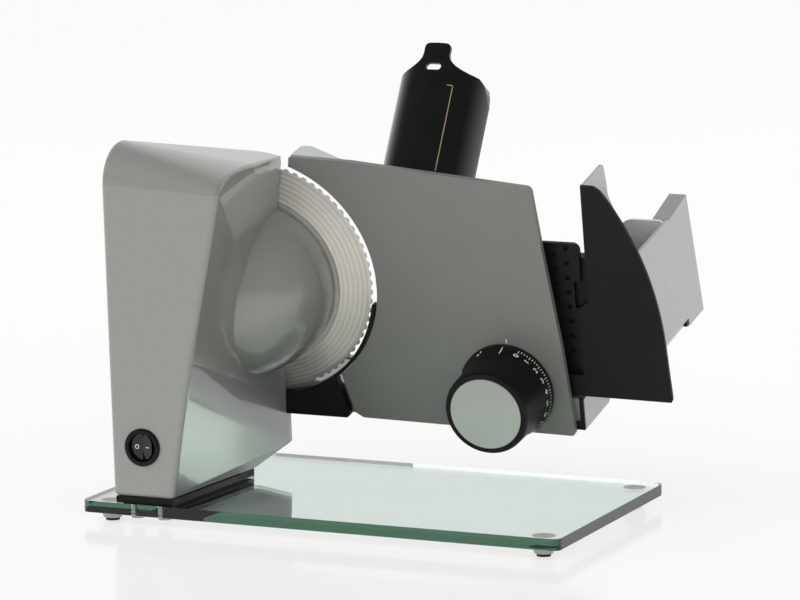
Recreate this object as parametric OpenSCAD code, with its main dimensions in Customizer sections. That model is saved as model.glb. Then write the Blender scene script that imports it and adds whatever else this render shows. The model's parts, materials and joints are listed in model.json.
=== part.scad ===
/* [Glass base] */
// Length of the glass plate, left to right
plate_l = 348; // [320:1:400]
// Depth of the glass plate, front to back
plate_d = 211; // [190:1:240]
// Thickness of the glass
plate_t = 8; // [6:0.5:10]
// Radius of the plate's corners
plate_corner_r = 6; // [3:0.5:12]
// Radius of a foot
foot_r = 8; // [6:0.5:11]
// Height of a metal foot cup
foot_cup_h = 5; // [4:0.5:8]
// Height of the rubber pad that shows under a cup
foot_pad_h = 2; // [1:0.5:3]
// Distance from the plate's edges to a foot's axis
foot_inset = 16; // [13:1:24]

/* [Cutting unit] */
// Blade axis, left of the plate's middle
blade_left = 100; // [96:1:104]
// Blade centre, behind the plate's middle
blade_back = 30; // [27:1:33]
// Blade centre above the glass
blade_rise = 142; // [140:1:150]
// Backward lean of the cutting unit in degrees
tilt = 14; // [12:0.5:16]

/* [Blade] */
// Blade radius at the tips
blade_r = 85; // [84:0.5:86]
// Width of the ground bevel at the blade's edge
blade_bevel_w = 11; // [9:0.5:13]
// Width of the cone inside the bevel
blade_cone_w = 10; // [8:0.5:12]
// Depth of the blade's dish
blade_dish = 7; // [6:0.5:7.5]
// Thickness of the blade's sheet
blade_t = 1.2; // [1:0.1:1.5]
// Number of waves ground into the edge
blade_waves = 76; // [60:1:90]
// Depth of one wave
blade_wave_depth = 1.3; // [0.6:0.1:1.8]

/* [Drive] */
// Module of the two gears
gear_module = 1; // [1:1:1]
// Teeth on the large gear
gear_teeth = 80; // [80:1:82]
// Teeth on the motor's pinion
pinion_teeth = 15; // [14:1:16]
// Width of the large gear
gear_w = 8; // [6:0.5:9]
// Sideways offset of the motor from the blade axis
motor_side = 25; // [24:0.5:26]
// Radius of the motor can
motor_r = 21; // [19:0.5:21]
// Length of the motor can
motor_l = 72; // [60:1:76]
// Radius of the fixed blade axle
axle_r = 5; // [4:0.5:6]

/* [Tower] */
// Wall thickness of the housing
wall = 2.6; // [2:0.1:3]
// Radius of the housing's outer edges
edge_r = 4; // [3.5:0.1:5]
// Set-back of the tower's front from the plate's edge
tower_set_back = 1.5; // [0.5:0.5:4]
// Gap under the housing, filled by the plinth
plinth_h = 4.5; // [3:0.5:6]
// Width of the tower's foot at the front
tower_foot_w = 45.5; // [44:0.5:48]
// Width of the tower's shoulder at the front
tower_top_w = 79.5; // [77:0.5:82]
// Left side of the foot, right of the plate's left edge
tower_foot_x = 23.5; // [20:0.5:26]
// How far the left side leans out at the shoulder
tower_left_lean = 7.5; // [4:0.5:9]
// Height of the front's right shoulder above the glass
shoulder_h = 217.5; // [210:0.5:220]
// Radius of the roll from the front into the top
roll_r = 28; // [24:1:32]
// Width of the housing's back outside the blade's tips
back_rim = 8; // [7:0.5:10]
// Step from the cone's inner edge in to the gear dome
dome_step = 3; // [2:0.5:4]
// Dome centre in front of the blade plane
dome_depth = 25; // [24:0.5:27]

/* [Arm] */
// Right end of the arm, from the blade axis
arm_end = 233.6; // [230:0.1:236]
// Left end of the arm, from the blade axis
arm_start = 78; // [74:1:82]
// Top of the arm below the blade axis
arm_top = 80; // [80:0.5:81]
// Height of the arm
arm_h = 22.4; // [21:0.1:25]
// Depth of the arm, front to back
arm_d = 49; // [47:0.5:52]
// Wall of the arm's extrusion
arm_wall = 3; // [2.5:0.1:3.2]

/* [Stop plate] */
// Thickness of the stop plate
stop_t = 4.5; // [4:0.1:5]
// Gap between the blade's tips and the plate's arc
stop_arc_gap = 5; // [4:0.5:6]
// Greatest opening, which is the thickest slice
slice_max = 20; // [15:1:20]

/* [Knob] */
// Knob axis, right of the blade axis
knob_x = 181; // [178:0.5:186]
// Knob axis, below the blade axis
knob_drop = 73; // [72:0.5:75]
// Radius of the dial skirt
knob_skirt_r = 34; // [33:0.5:36]
// Radius of the grip at its front
knob_grip_r = 30; // [28:0.5:31]
// Height of the knob
knob_h = 42.5; // [38:0.5:46]
// Radius of the metal cap
knob_cap_r = 25.5; // [23:0.5:26]

/* [Carriage] */
// Left edge of the food floor, from the blade axis
floor_left = 88; // [84:1:96]
// Food face of the push wall, from the blade axis
push_x = 243.2; // [242:0.1:246]
// Width of the grip, from the push wall's food face to the outer wall's outside
grip_w = 37.8; // [34:0.1:42]
// Top of the food floor below the blade axis
floor_drop = 75; // [74:0.5:76]
// Depth of the food floor behind the blade plane
floor_depth = 128; // [118:1:134]
// Height of the push wall above the blade axis
push_top = 77; // [70:1:82]
// Thickness of the carriage's sheet
sheet = 2.4; // [2:0.1:2.8]
// Clear gap between the blade plane and the carriage
run_gap = 3; // [2.5:0.1:3.5]

/* [Remnant holder] */
// Radius of the hood
hood_r = 33.5; // [31:0.5:35]
// Lean of the hood from the blade plane, in degrees
hood_lean = 44; // [40:1:46]
// Wall of the hood and its plate
holder_t = 2.6; // [2.2:0.1:3]

/* [Hidden] */
$fn = 96;
eps = 0.02;
clear = 0.3;
fit = 0.04;
glass_top = foot_pad_h + foot_cup_h + plate_t;
front_y = -plate_d / 2 + tower_set_back;
left_x = -plate_l / 2;
unit_at = [-blade_left, blade_back, glass_top + blade_rise];
blade_bevel_r = blade_r - blade_bevel_w;
blade_ridge_r = blade_bevel_r - blade_cone_w;
dome_r = blade_ridge_r - dome_step;
back_r = blade_r + back_rim;
stop_arc_r = blade_r + stop_arc_gap;
outer_x = push_x + grip_w;
// Length down the cutting plane from the blade axis to the glass
plane_to_glass = blade_rise / cos(tilt);

// World position of a point (x, c, v) of the cutting unit: right, towards the food side, and up its plane
function world(p) = unit_at
    + [p[0], p[1] * cos(tilt) - p[2] * sin(tilt), p[1] * sin(tilt) + p[2] * cos(tilt)];
function dir(v) = v / norm(v);
function turn(a) = (a + 540) % 360 - 180;

// One rounded corner of an outline, as points on its arc
function corner(a, b, c, r, n = 7) = r <= 0 ? [b] :
    let (u = dir(a - b), w = dir(c - b), half = acos(u * w) / 2)
    let (m = b + dir(u + w) * r / sin(half), s = b + u * r / tan(half), e = b + w * r / tan(half))
    let (a0 = atan2(s.y - m.y, s.x - m.x), da = turn(atan2(e.y - m.y, e.x - m.x) - a0))
    [for (i = [0 : n]) m + r * [cos(a0 + da * i / n), sin(a0 + da * i / n)]];

// An outline whose corners are rounded, with one radius or one for each corner
function rounded(pts, r) = let (k = len(pts))
    [for (i = [0 : k - 1]) each corner(pts[(i + k - 1) % k], pts[i], pts[(i + 1) % k], is_list(r) ? r[i] : r)];

// A point on a smooth curve between the middle two of four points
function curve_point(p, t) = ((2 * p[1]) + (p[2] - p[0]) * t + (2 * p[0] - 5 * p[1] + 4 * p[2] - p[3]) * t * t
    + (3 * p[1] - p[0] - 3 * p[2] + p[3]) * t * t * t) / 2;

module in_unit() {
    translate(unit_at) rotate([tilt, 0, 0]) children();
}

// Extrudes a flat outline (x, v) of the cutting unit from depth c over thickness t
module slab(c, t) {
    translate([0, c + t, 0]) rotate([90, 0, 0]) linear_extrude(t) children();
}

// Extrudes an outline (c, v) of the cutting unit from x over length l
module rail(x, l) {
    translate([x, 0, 0]) rotate([90, 0, 90]) linear_extrude(l) children();
}

// A round bar along the c axis, from depth c over length l
module bar(p, c, l, r) {
    translate([p.x, c + l, p.y]) rotate([90, 0, 0]) cylinder(r = r, h = l);
}

// A turned form about an axis along c, from an outline of (radius, depth)
module turned(p, c) {
    translate([p.x, c, p.y]) rotate([-90, 0, 0]) rotate_extrude() children();
}

module round_rect(size, r) {
    translate([r, 0]) square([size.x - 2 * r, size.y]);
    translate([0, r]) square([size.x, size.y - 2 * r]);
    for (x = [r, size.x - r], y = [r, size.y - r]) translate([x, y]) circle(r);
}

/* Glass base and feet */
plinth_screw_r = 2.2;
plinth_screw_head_r = 4.5;
plinth_screw_head_h = 2.6;
washer_t = 1;
foot_cup_lip = 0.8;
foot_taper = 1.6;
plinth_inset = 1.6;
plinth_x0 = left_x + tower_foot_x + plinth_inset;
plinth_x1 = left_x + tower_foot_x + tower_foot_w - plinth_inset;
plinth_y0 = front_y + plinth_inset;
plinth_back_gap = 9;
plinth_y1 = blade_back - plinth_back_gap;
plinth_flare = 5;
plinth_z = glass_top + plinth_h;
screw_inset = 11;
plinth_screw_at = [for (x = [plinth_x0 + screw_inset, plinth_x1 - screw_inset],
    y = [plinth_y0 + screw_inset, plinth_y1 - screw_inset]) [x, y]];

module glass_plate() color([0.62, 0.72, 0.69, 0.6]) difference() {
    translate([left_x, -plate_d / 2, glass_top - plate_t]) linear_extrude(plate_t)
        round_rect([plate_l, plate_d], plate_corner_r);
    for (p = plinth_screw_at) translate([p.x, p.y, glass_top - plate_t - eps])
        cylinder(r = plinth_screw_r + clear, h = plate_t + 2 * eps);
}

module at_feet() {
    for (x = [-1, 1] * (plate_l / 2 - foot_inset), y = [-1, 1] * (plate_d / 2 - foot_inset))
        translate([x, y, 0]) children();
}

module foot_cups() color([0.62, 0.62, 0.6]) at_feet() translate([0, 0, foot_pad_h]) difference() {
    rotate_extrude() polygon([[0, 0], [foot_r - foot_taper, 0], [foot_r, foot_cup_h - foot_cup_lip],
        [foot_r, foot_cup_h], [0, foot_cup_h]]);
    translate([0, 0, -eps]) cylinder(r = foot_r - 2 * foot_taper + fit, h = foot_cup_lip + eps);
}

module foot_pads() color([0.12, 0.12, 0.12]) at_feet()
    cylinder(r = foot_r - 2 * foot_taper, h = foot_pad_h + foot_cup_lip);

module plinth_washers() color([0.15, 0.15, 0.15]) for (p = plinth_screw_at)
    translate([p.x, p.y, glass_top - plate_t - washer_t]) difference() {
        cylinder(r = plinth_screw_head_r + clear, h = washer_t);
        translate([0, 0, -eps]) cylinder(r = plinth_screw_r + fit, h = washer_t + 2 * eps);
    }

plinth_screw_l = 14;
module plinth_screws() color([0.7, 0.7, 0.7]) for (p = plinth_screw_at)
    translate([p.x, p.y, glass_top - plate_t - washer_t - plinth_screw_head_h]) {
        cylinder(r = plinth_screw_head_r, h = plinth_screw_head_h);
        cylinder(r = plinth_screw_r, h = plinth_screw_head_h + washer_t + plinth_screw_l);
    }

/* Gear frame and plinth saddle */
frame_c = -33;
frame_t = 4;
saddle_d = 12;
saddle_x0 = -46;
saddle_w = 44;
saddle_top = 78;
saddle_low_gap = 32.4;
saddle_low = plane_to_glass - saddle_low_gap;
frame_low_gap = 26.4;
frame_low = plane_to_glass - frame_low_gap;
saddle_foot = 8;
boss_low_r = 5.5;
boss_low_h = 8;
frame_screw_r = 2.5;
frame_screw_head_r = 4.4;
frame_screw_head_h = 3;
frame_screw_l = 12;
frame_screw_gap = 36.4;
frame_screw_low = plane_to_glass - frame_screw_gap;
frame_screw_in = 6;
frame_screw_x0 = saddle_x0 + frame_screw_in;
frame_screw_x1 = -12;
frame_screw_at = [for (x = [frame_screw_x0, frame_screw_x1], v = [saddle_top + boss_low_r, frame_screw_low]) [x, -v]];

module plinth() color([0.09, 0.09, 0.09]) difference() {
    union() {
        translate([0, 0, glass_top]) linear_extrude(plinth_h) polygon([[plinth_x0, plinth_y0],
            [plinth_x1, plinth_y0], [plinth_x1 + plinth_flare, plinth_y1], [plinth_x0, plinth_y1]]);
        for (p = plinth_screw_at) translate([p.x, p.y, plinth_z - eps])
            cylinder(r = boss_low_r, h = boss_low_h);
        translate([-blade_left + saddle_x0, 0, 0]) rotate([90, 0, 90]) linear_extrude(saddle_w) {
            a = world([0, frame_c, -saddle_top]);
            b = world([0, frame_c, -saddle_low]);
            c = world([0, frame_c - saddle_d, -saddle_top]);
            polygon([[c.y, c.z], [a.y, a.z], [b.y, b.z], [plinth_y1, plinth_z + saddle_foot],
                [plinth_y1, plinth_z - eps], [c.y - saddle_foot, plinth_z - eps]]);
        }
    }
    for (p = plinth_screw_at) translate([p.x, p.y, glass_top - eps])
        cylinder(r = plinth_screw_r + fit, h = plinth_screw_l - plate_t + clear);
    in_unit() for (p = frame_screw_at)
        bar(p, frame_c - frame_screw_l + frame_t - clear, frame_screw_l, frame_screw_r + fit);
}

/* Housing */
split_up = 100;
split_z = glass_top + split_up;
split_flare = 13.5;
split_w = tower_foot_w + split_flare;
foot_drift = 6;
top_back_rise = 13;
top_mid_run = 58;
top_mid_y = front_y + top_mid_run;
top_mid_rise = 12.6;
top_mid_out = 1;
roll_step = 7.5;
back_top_x = 25.4;
back_top_v = 90;
back_low_x = 10;
back_low_gap = 19.8;
back_low_v = plane_to_glass - back_low_gap;
back_low_left = 62;
blade_gap = 1.3;
tower_x = left_x + tower_foot_x;
roll_z = glass_top + shoulder_h;

function tower_left(z) = tower_x - tower_left_lean * (z - plinth_z) / (roll_z - plinth_z);
function back_edge(v) = back_low_x + (back_top_x - back_low_x) * (v + back_low_v) / (back_top_v + back_low_v);

module ball(p, r) {
    translate(p) sphere(r = r, $fn = 24);
}

// The part of the round back on the tower's side of its right edge, between two heights
module back_disc(off, v0, v1) {
    c0 = off > 0 ? 2 * wall : 0;
    a0 = atan2(back_top_v, back_top_x);
    in_unit() slab(c0 - edge_r, edge_r) intersection() {
        circle(back_r - off, $fn = 72);
        polygon([[-back_r, v0], [back_edge(v0) - off, v0], [back_edge(v1) - off, v1], [-back_r, v1]]);
    }
}

// The outer form of the housing, drawn in by off on every side, with its upper and its lower half
module tower_form(off) {
    r = edge_r - off;
    low = off > 0 ? plinth_z - edge_r : plinth_z + r;
    hull() {
        for (a = [0 : roll_step : 90]) {
            ball([tower_left(roll_z) + edge_r, front_y + edge_r + (roll_r - edge_r) * (1 - cos(a)),
                roll_z + (roll_r - edge_r) * sin(a)], r);
            ball([tower_x + tower_top_w - edge_r + top_mid_out * (1 - cos(a)),
                front_y + edge_r + (top_mid_run - edge_r) * (1 - cos(a)), roll_z - edge_r + top_mid_rise * sin(a)], r);
        }
        ball([tower_left(split_z) + edge_r, front_y + edge_r, split_z], r);
        ball([tower_x + split_w - edge_r, front_y + edge_r, split_z], r);
        back_disc(off, -back_r, back_r);
    }
    hull() {
        ball([tower_left(split_z) + edge_r, front_y + edge_r, split_z], r);
        ball([tower_x + split_w - edge_r, front_y + edge_r, split_z], r);
        for (y = [front_y + edge_r, plinth_y1 - edge_r]) {
            ball([tower_x + edge_r, y, low], r);
            ball([tower_x + tower_foot_w - edge_r + (y > 0 ? foot_drift : 0), y, low], r);
        }
        back_disc(off, -back_r, 0);
        in_unit() slab(off > 0 ? 2 * wall - edge_r : -edge_r, edge_r)
            polygon([[-back_low_left + off, -back_low_v + off], [back_low_x - off, -back_low_v + off],
                [back_edge(-back_r) - off, -back_r], [-back_low_left + off, -back_r]]);
    }
}

switch_in = 46;
switch_up = 39.6;
switch_at = [left_x + switch_in, glass_top + switch_up];
bezel_r = 13;
bezel_t = 2;
barrel_r = 11.2;
barrel_l = 16;
gland_in = 62;
gland_y = front_y + gland_in;
gland_up = 34;
gland_z = glass_top + gland_up;
gland_flange_r = 10;
gland_flange_t = 3;
gland_barrel_r = 7.5;
gland_bore_r = 3.4;
gland_nut_t = 5;
gland_seat_out = 4;
gland_seat_x = tower_x - gland_seat_out;
gland_pad_d = 12;
cover_c = -12.5;
cover_t = 2.5;
dome_flat = -9.5;
guard_front = -7;
guard_slot_v = 102.6;
guard_slot_top = 60;

// The space that the blade sweeps, with its running gap
module blade_space() {
    turned([0, 0], 0) polygon([[0, -blade_dish - blade_t - blade_gap],
        [blade_ridge_r, -blade_dish - blade_t - blade_gap],
        [blade_r + blade_gap, -blade_gap], [blade_r + blade_gap, edge_r], [0, edge_r]]);
}

module tower_shell() color([0.63, 0.65, 0.62]) difference() {
    union() {
        tower_form(0);
        in_unit() turned([0, 0], -dome_depth) intersection() {
            circle(dome_r);
            translate([0, -dome_r]) square([dome_r, dome_r + dome_depth + dome_flat]);
        }
    }
    difference() {
        union() {
            tower_form(wall);
            in_unit() turned([0, 0], -dome_depth) intersection() {
                circle(dome_r - wall);
                translate([0, -dome_r]) square([dome_r, dome_r + dome_depth - eps]);
            }
        }
        translate([gland_seat_x - gland_pad_d, gland_y, gland_z]) rotate([0, 90, 0])
            cylinder(r = gland_flange_r + wall, h = 2 * gland_pad_d);
    }
    in_unit() blade_space();
    in_unit() turned([0, 0], cover_c - clear)
        square([sqrt(pow(dome_r - wall, 2) - pow(dome_depth + cover_c, 2)), cover_t + wall]);
    in_unit() translate([-back_r, guard_front - clear, -guard_slot_v])
        cube([2 * back_r, edge_r - guard_front, guard_slot_v - guard_slot_top]);
    translate([switch_at.x, front_y + wall + eps, switch_at.y]) rotate([90, 0, 0])
        cylinder(r = barrel_r + fit, h = wall + edge_r);
    translate([gland_seat_x - gland_pad_d * 2, gland_y, gland_z]) rotate([0, 90, 0]) {
        cylinder(r = gland_flange_r + clear, h = gland_pad_d * 2);
        cylinder(r = gland_barrel_r + fit, h = gland_pad_d * 4);
    }
}

/* Switch and cord gland */
rocker_r = 9;
rocker_half = 8.4;
rocker_room_r = 9.9;
rocker_deep = 6;
rocker_tilt = 9;
rocker_crown = 3.4;
pivot_r = 1.2;
switch_range = 2 * rocker_tilt;

// Puts the switch's own frame on the housing's front, with z outwards
module on_front() {
    translate([switch_at.x, front_y, switch_at.y]) rotate([90, 0, 0]) children();
}

module switch_bezel() color([0.05, 0.05, 0.05]) on_front() difference() {
    union() {
        rotate_extrude() polygon([[0, 0], [bezel_r, 0], [bezel_r, bezel_t / 2],
            [bezel_r - bezel_t / 2, bezel_t], [0, bezel_t]]);
        translate([0, 0, -barrel_l]) cylinder(r = barrel_r, h = barrel_l + eps);
    }
    translate([0, 0, -rocker_deep - rocker_crown]) cylinder(r = rocker_room_r, h = barrel_l);
    translate([0, -rocker_room_r - bezel_t / 2, -rocker_deep]) rotate([-90, 0, 0])
        cylinder(r = pivot_r + fit, h = 2 * rocker_room_r + bezel_t);
}

module switch_rocker() color([0.08, 0.08, 0.08]) on_front() {
    difference() {
        translate([0, 0, -rocker_deep]) rotate([0, -rocker_tilt, 0]) intersection() {
            cylinder(r = rocker_r, h = 2 * rocker_deep, center = true);
            translate([0, rocker_r, 0]) rotate([90, 0, 0]) linear_extrude(2 * rocker_r) polygon([
                [-rocker_half, -rocker_crown / 2], [0, -rocker_crown], [rocker_half, -rocker_crown / 2],
                [rocker_half, rocker_deep], [0, rocker_deep - rocker_crown / 2], [-rocker_half, rocker_deep]]);
        }
        translate([0, -rocker_r, -rocker_deep]) rotate([-90, 0, 0])
            cylinder(r = pivot_r, h = 2 * rocker_r);
    }
    translate([0, -rocker_room_r - bezel_t / 4, -rocker_deep]) rotate([-90, 0, 0])
        cylinder(r = pivot_r, h = 2 * rocker_room_r + bezel_t / 2);
}

module on_gland() {
    translate([gland_seat_x, gland_y, gland_z]) rotate([0, -90, 0]) children();
}

module cord_gland() color([0.06, 0.06, 0.06]) on_gland() difference() {
    union() {
        rotate_extrude() polygon([[0, 0], [gland_flange_r, 0], [gland_flange_r, gland_flange_t / 2],
            [gland_flange_r - gland_flange_t / 2, gland_flange_t], [0, gland_flange_t]]);
        translate([0, 0, -gland_pad_d - gland_nut_t]) cylinder(r = gland_barrel_r, h = gland_pad_d + gland_nut_t + eps);
    }
    translate([0, 0, -gland_pad_d - gland_nut_t - eps])
        cylinder(r = gland_bore_r, h = gland_pad_d + gland_nut_t + gland_flange_t + 2 * eps);
}

module gland_nut() color([0.2, 0.2, 0.2]) on_gland() translate([0, 0, -gland_pad_d - gland_nut_t]) difference() {
    cylinder(r = gland_flange_r, h = gland_nut_t, $fn = 6);
    translate([0, 0, -eps]) cylinder(r = gland_barrel_r + fit, h = gland_nut_t + 2 * eps);
}

/* Frame, covers and guard */
frame_left = 69;
frame_low_left = 52;
frame_waist = 62;
frame_right = 1;
frame_high = 30;
frame_disc_r = 56;
boss_r = 13;
boss_front = -44;
motor_v = -sqrt(pow(gear_module * (gear_teeth + pinion_teeth) / 2, 2) - pow(motor_side, 2));
motor_at = [-motor_side, motor_v];
motor_nose_r = 9;
motor_screw_pcr = 15;
motor_screw_r = 1.6;
post_r = 4.5;
post_screw_r = 1.5;
post_at = [[-60, 18], [-64, -42], [12, 50]];
hub_r = 19;
guard_back = -1;
guard_right = 61.2;
guard_slant = 9;
guard_tip_v = 69.5;
guard_low_v = 102.4;
guard_fillet = 3;
rim_gap = 4.6;
rim_r = blade_r + rim_gap;
guard_gap = 2;
guard_r = blade_r + guard_gap;
ring_from = 215;
ring_to = 350;
ring_steps = 24;
cover_rim_in = 7.5;
cover_rim_r = back_r - cover_rim_in;
cover_top_in = 6.4;
bracket_x0 = -50;
bracket_w = 50;
bracket_top = 88.8;
bracket_low = 118;
bracket_screw_v = -94;
bracket_screw_at = [[bracket_x0 + bracket_w / 5, bracket_screw_v], [-bracket_w / 5, bracket_screw_v]];
arm_c = run_gap;
arm_screw_r = 2.5;
arm_screw_deep = 22;
arm_screw_head_r = 4.5;
arm_screw_head_h = 3;

module gear_frame() color([0.72, 0.73, 0.74]) in_unit() difference() {
    union() {
        slab(frame_c, frame_t) {
            circle(frame_disc_r);
            polygon([[-frame_low_left, -frame_low], [frame_right, -frame_low], [frame_right, frame_high],
                [-frame_left, frame_high], [-frame_left, -frame_waist]]);
        }
        bar([0, 0], boss_front, -boss_front + frame_c + eps, boss_r);
        for (p = post_at) bar(p, frame_c + frame_t - eps, cover_c - frame_c - frame_t + eps, post_r);
        translate([bracket_x0, frame_c + frame_t - eps, -bracket_low])
            cube([bracket_w, arm_c - frame_c - frame_t + eps, bracket_low - bracket_top]);
    }
    bar([0, 0], boss_front - eps, frame_t - boss_front, axle_r + fit);
    bar(motor_at, frame_c - eps, frame_t + 2 * eps, motor_nose_r + clear);
    for (a = [0, 180]) bar(motor_at + motor_screw_pcr * [cos(a), sin(a)], frame_c - eps,
        frame_t + 2 * eps, motor_screw_r + fit);
    for (p = frame_screw_at) {
        bar(p, frame_c - eps, frame_t + 2 * eps, frame_screw_r + fit);
        bar(p, frame_c + frame_t, arm_c - frame_c, frame_screw_head_r + clear);
    }
    for (p = post_at) bar(p, frame_c - eps, cover_c - frame_c + 2 * eps, post_screw_r + fit);
    for (p = bracket_screw_at) bar(p, arm_c - arm_screw_deep, arm_screw_deep + eps, arm_screw_r + fit);
}

module frame_screws() color([0.7, 0.7, 0.7]) in_unit() for (p = frame_screw_at) {
    bar(p, frame_c + frame_t, frame_screw_head_h, frame_screw_head_r);
    bar(p, frame_c + frame_t - frame_screw_l + eps, frame_screw_l, frame_screw_r);
}

// Closes the dome and the back of the housing in front of the blade
module gear_cover() color([0.3, 0.31, 0.3]) in_unit() difference() {
    slab(cover_c, cover_t) intersection() {
        union() {
            circle(sqrt(pow(dome_r - wall, 2) - pow(dome_depth + cover_c, 2)) - clear);
            polygon([[-back_r, -guard_slot_top], [back_edge(-guard_slot_top) - wall - clear, -guard_slot_top],
                [back_edge(back_r) - wall - clear - cover_top_in, back_r], [-back_r, back_r]]);
        }
        circle(cover_rim_r);
    }
    bar([0, 0], cover_c - eps, cover_t + 2 * eps, hub_r + clear * 3);
    for (p = post_at) bar(p, cover_c - eps, cover_t + 2 * eps, post_screw_r + fit);
}

cover_head_r = 3;
cover_head_h = 1;
module cover_screws() color([0.7, 0.7, 0.7]) in_unit() for (p = post_at) {
    bar(p, cover_c + cover_t, cover_head_h, cover_head_r);
    bar(p, frame_c, cover_c + cover_t - frame_c + eps, post_screw_r);
}

module blade_guard() color([0.07, 0.07, 0.07]) in_unit() difference() {
    slab(guard_front, guard_back - guard_front) difference() {
        union() {
            polygon([[0, 0], for (i = [0 : ring_steps]) let (a = ring_from + (ring_to - ring_from) * i / ring_steps)
                rim_r * [cos(a), sin(a)]]);
            polygon(rounded([[0, -guard_low_v], [guard_right, -guard_low_v],
                [guard_right - guard_slant, -guard_tip_v], [0, 0]], [0, guard_fillet, 0, 0]));
            polygon([[-back_low_left + 2 * wall, -back_low_v + 2 * wall],
                [back_low_x - wall - 2 * clear, -back_low_v + 2 * wall],
                [back_low_x - wall - clear, -guard_r / 2], [-back_low_left + wall, -guard_r / 2]]);
        }
        circle(guard_r);
    }
    translate([bracket_x0 - clear, guard_front - eps, -bracket_low - clear])
        cube([bracket_w + 2 * clear, guard_back - guard_front + 2 * eps, bracket_low - bracket_top + 2 * clear]);
}

/* Blade and its hub */
blade_screw_pcr = 13;
blade_screw_r = 2;
blade_screw_head_r = 3.6;
blade_screw_head_h = 1.6;
hub_back = -blade_dish - blade_t;
hub_front = -25.5;
bush_t = 2;
bush_l = 7;
gear_c = -24;
cover_plate_r = 60;
cover_plate_t = 2;
cover_sleeve_r = 9;
axle_back = -3.2;
axle_head_r = 8;
axle_head_h = 3;
blade_edge_t = 0.3;

// The dished profile, as (radius, depth), from the hole out to the edge and back
module blade_profile() {
    polygon([[0, -blade_dish - blade_t], [blade_ridge_r, -blade_dish - blade_t],
        [blade_bevel_r, -blade_cone_c - blade_t], [blade_r, -blade_edge_t], [blade_r, 0],
        [blade_bevel_r, -blade_cone_c], [blade_ridge_r - blade_t / 2, -blade_dish], [0, -blade_dish]]);
}

module blade() color([0.75, 0.74, 0.71]) in_unit() difference() {
    intersection() {
        turned([0, 0], 0) blade_profile();
        slab(-2 * blade_dish, 3 * blade_dish) difference() {
            circle(blade_r);
            for (i = [0 : blade_waves - 1]) rotate(360 * (i + wave_start_share) / blade_waves)
                translate([blade_r + blade_wave_r - blade_wave_depth, 0]) circle(blade_wave_r, $fn = 24);
        }
    }
    bar([0, 0], -2 * blade_dish, 4 * blade_dish, axle_r + 2 * clear);
    for (a = blade_screw_turns) bar(blade_screw_pcr * [cos(a), sin(a)], -2 * blade_dish, 4 * blade_dish,
        blade_screw_r + fit);
}

module blade_screws() color([0.7, 0.7, 0.7]) in_unit() for (a = blade_screw_turns) {
    bar(blade_screw_pcr * [cos(a), sin(a)], -blade_dish, blade_screw_head_h, blade_screw_head_r);
    bar(blade_screw_pcr * [cos(a), sin(a)], hub_back - blade_screw_l, blade_screw_l + blade_t + eps, blade_screw_r);
}

module blade_hub() color([0.7, 0.68, 0.62]) in_unit() difference() {
    bar([0, 0], hub_front, hub_back - hub_front, hub_r);
    bar([0, 0], hub_front - eps, hub_back - hub_front + 2 * eps, axle_r + bush_t + fit);
    for (a = blade_screw_turns) bar(blade_screw_pcr * [cos(a), sin(a)], hub_back - blade_screw_l - clear,
        blade_screw_l + clear + eps, blade_screw_r + fit);
}

module hub_bushes() color([0.72, 0.55, 0.3]) in_unit() for (c = [hub_front, hub_back - bush_l]) difference() {
    bar([0, 0], c, bush_l, axle_r + bush_t);
    bar([0, 0], c - eps, bush_l + 2 * eps, axle_r + 2 * fit);
}

// Outline of a spur gear with a tooth centred on the first axis
tooth_root_share = 0.27;
tooth_tip_share = 0.11;
tooth_low_share = 1.2;
tooth_high_share = 0.9;
module gear_outline(teeth) {
    r0 = gear_module * (teeth / 2 - tooth_low_share);
    r1 = gear_module * (teeth / 2 + tooth_high_share);
    p = 360 / teeth;
    polygon([for (i = [0 : teeth - 1], k = [[r0, -tooth_root_share], [r1, -tooth_tip_share],
        [r1, tooth_tip_share], [r0, tooth_root_share]]) k[0] * [cos(p * (i + k[1])), sin(p * (i + k[1]))]]);
}

mesh_turn = atan2(motor_v, -motor_side);
module drive_gear() color([0.85, 0.83, 0.75]) in_unit() slab(gear_c, gear_w) difference() {
    rotate(mesh_turn) gear_outline(gear_teeth);
    circle(hub_r + fit);
    for (a = [0 : 60 : 300]) rotate(a) translate([gear_hole_at, 0]) circle(gear_hole_r);
}

gear_hole_at = 28.5;
gear_hole_r = 6;
blade_screw_turns = [30, 150, 270];
blade_screw_l = 10;
blade_wave_r = 2.6;
wave_start_share = 0.3;
blade_cone_c = 3;

module blade_axle() color([0.6, 0.6, 0.6]) in_unit() difference() {
    union() {
        bar([0, 0], boss_front - axle_head_h, axle_head_h, axle_head_r);
        bar([0, 0], boss_front - eps, axle_back - boss_front + eps, axle_r);
    }
    bar([0, 0], axle_back - bolt_l, bolt_l + eps, bolt_r + fit);
}

// The fixed disc that fills the blade's dish on the food side
bolt_r = 2.5;
bolt_l = 14;
bolt_head_r = 9;
bolt_head_h = 1.2;
bolt_slot_w = 2;
cover_rim_c = -3.4;
cover_face_c = -1.2;
module blade_cover() color([0.1, 0.1, 0.1]) in_unit() difference() {
    turned([0, 0], 0) polygon([[0, axle_back], [cover_sleeve_r, axle_back],
        [cover_plate_r - cover_plate_t, cover_rim_c], [cover_plate_r, cover_rim_c + clear],
        [cover_plate_r - cover_plate_t, cover_face_c], [0, cover_face_c]]);
    bar([0, 0], axle_back - eps, -axle_back, bolt_r + fit);
}

module cover_bolt() color([0.7, 0.7, 0.7]) in_unit() difference() {
    union() {
        bar([0, 0], cover_face_c, bolt_head_h, bolt_head_r);
        bar([0, 0], axle_back - bolt_l + clear, bolt_l - axle_back + cover_face_c - clear + eps, bolt_r);
    }
    translate([-bolt_head_r, cover_face_c + bolt_head_h / 2, -bolt_slot_w / 2])
        cube([2 * bolt_head_r, bolt_head_h, bolt_slot_w]);
}

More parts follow.
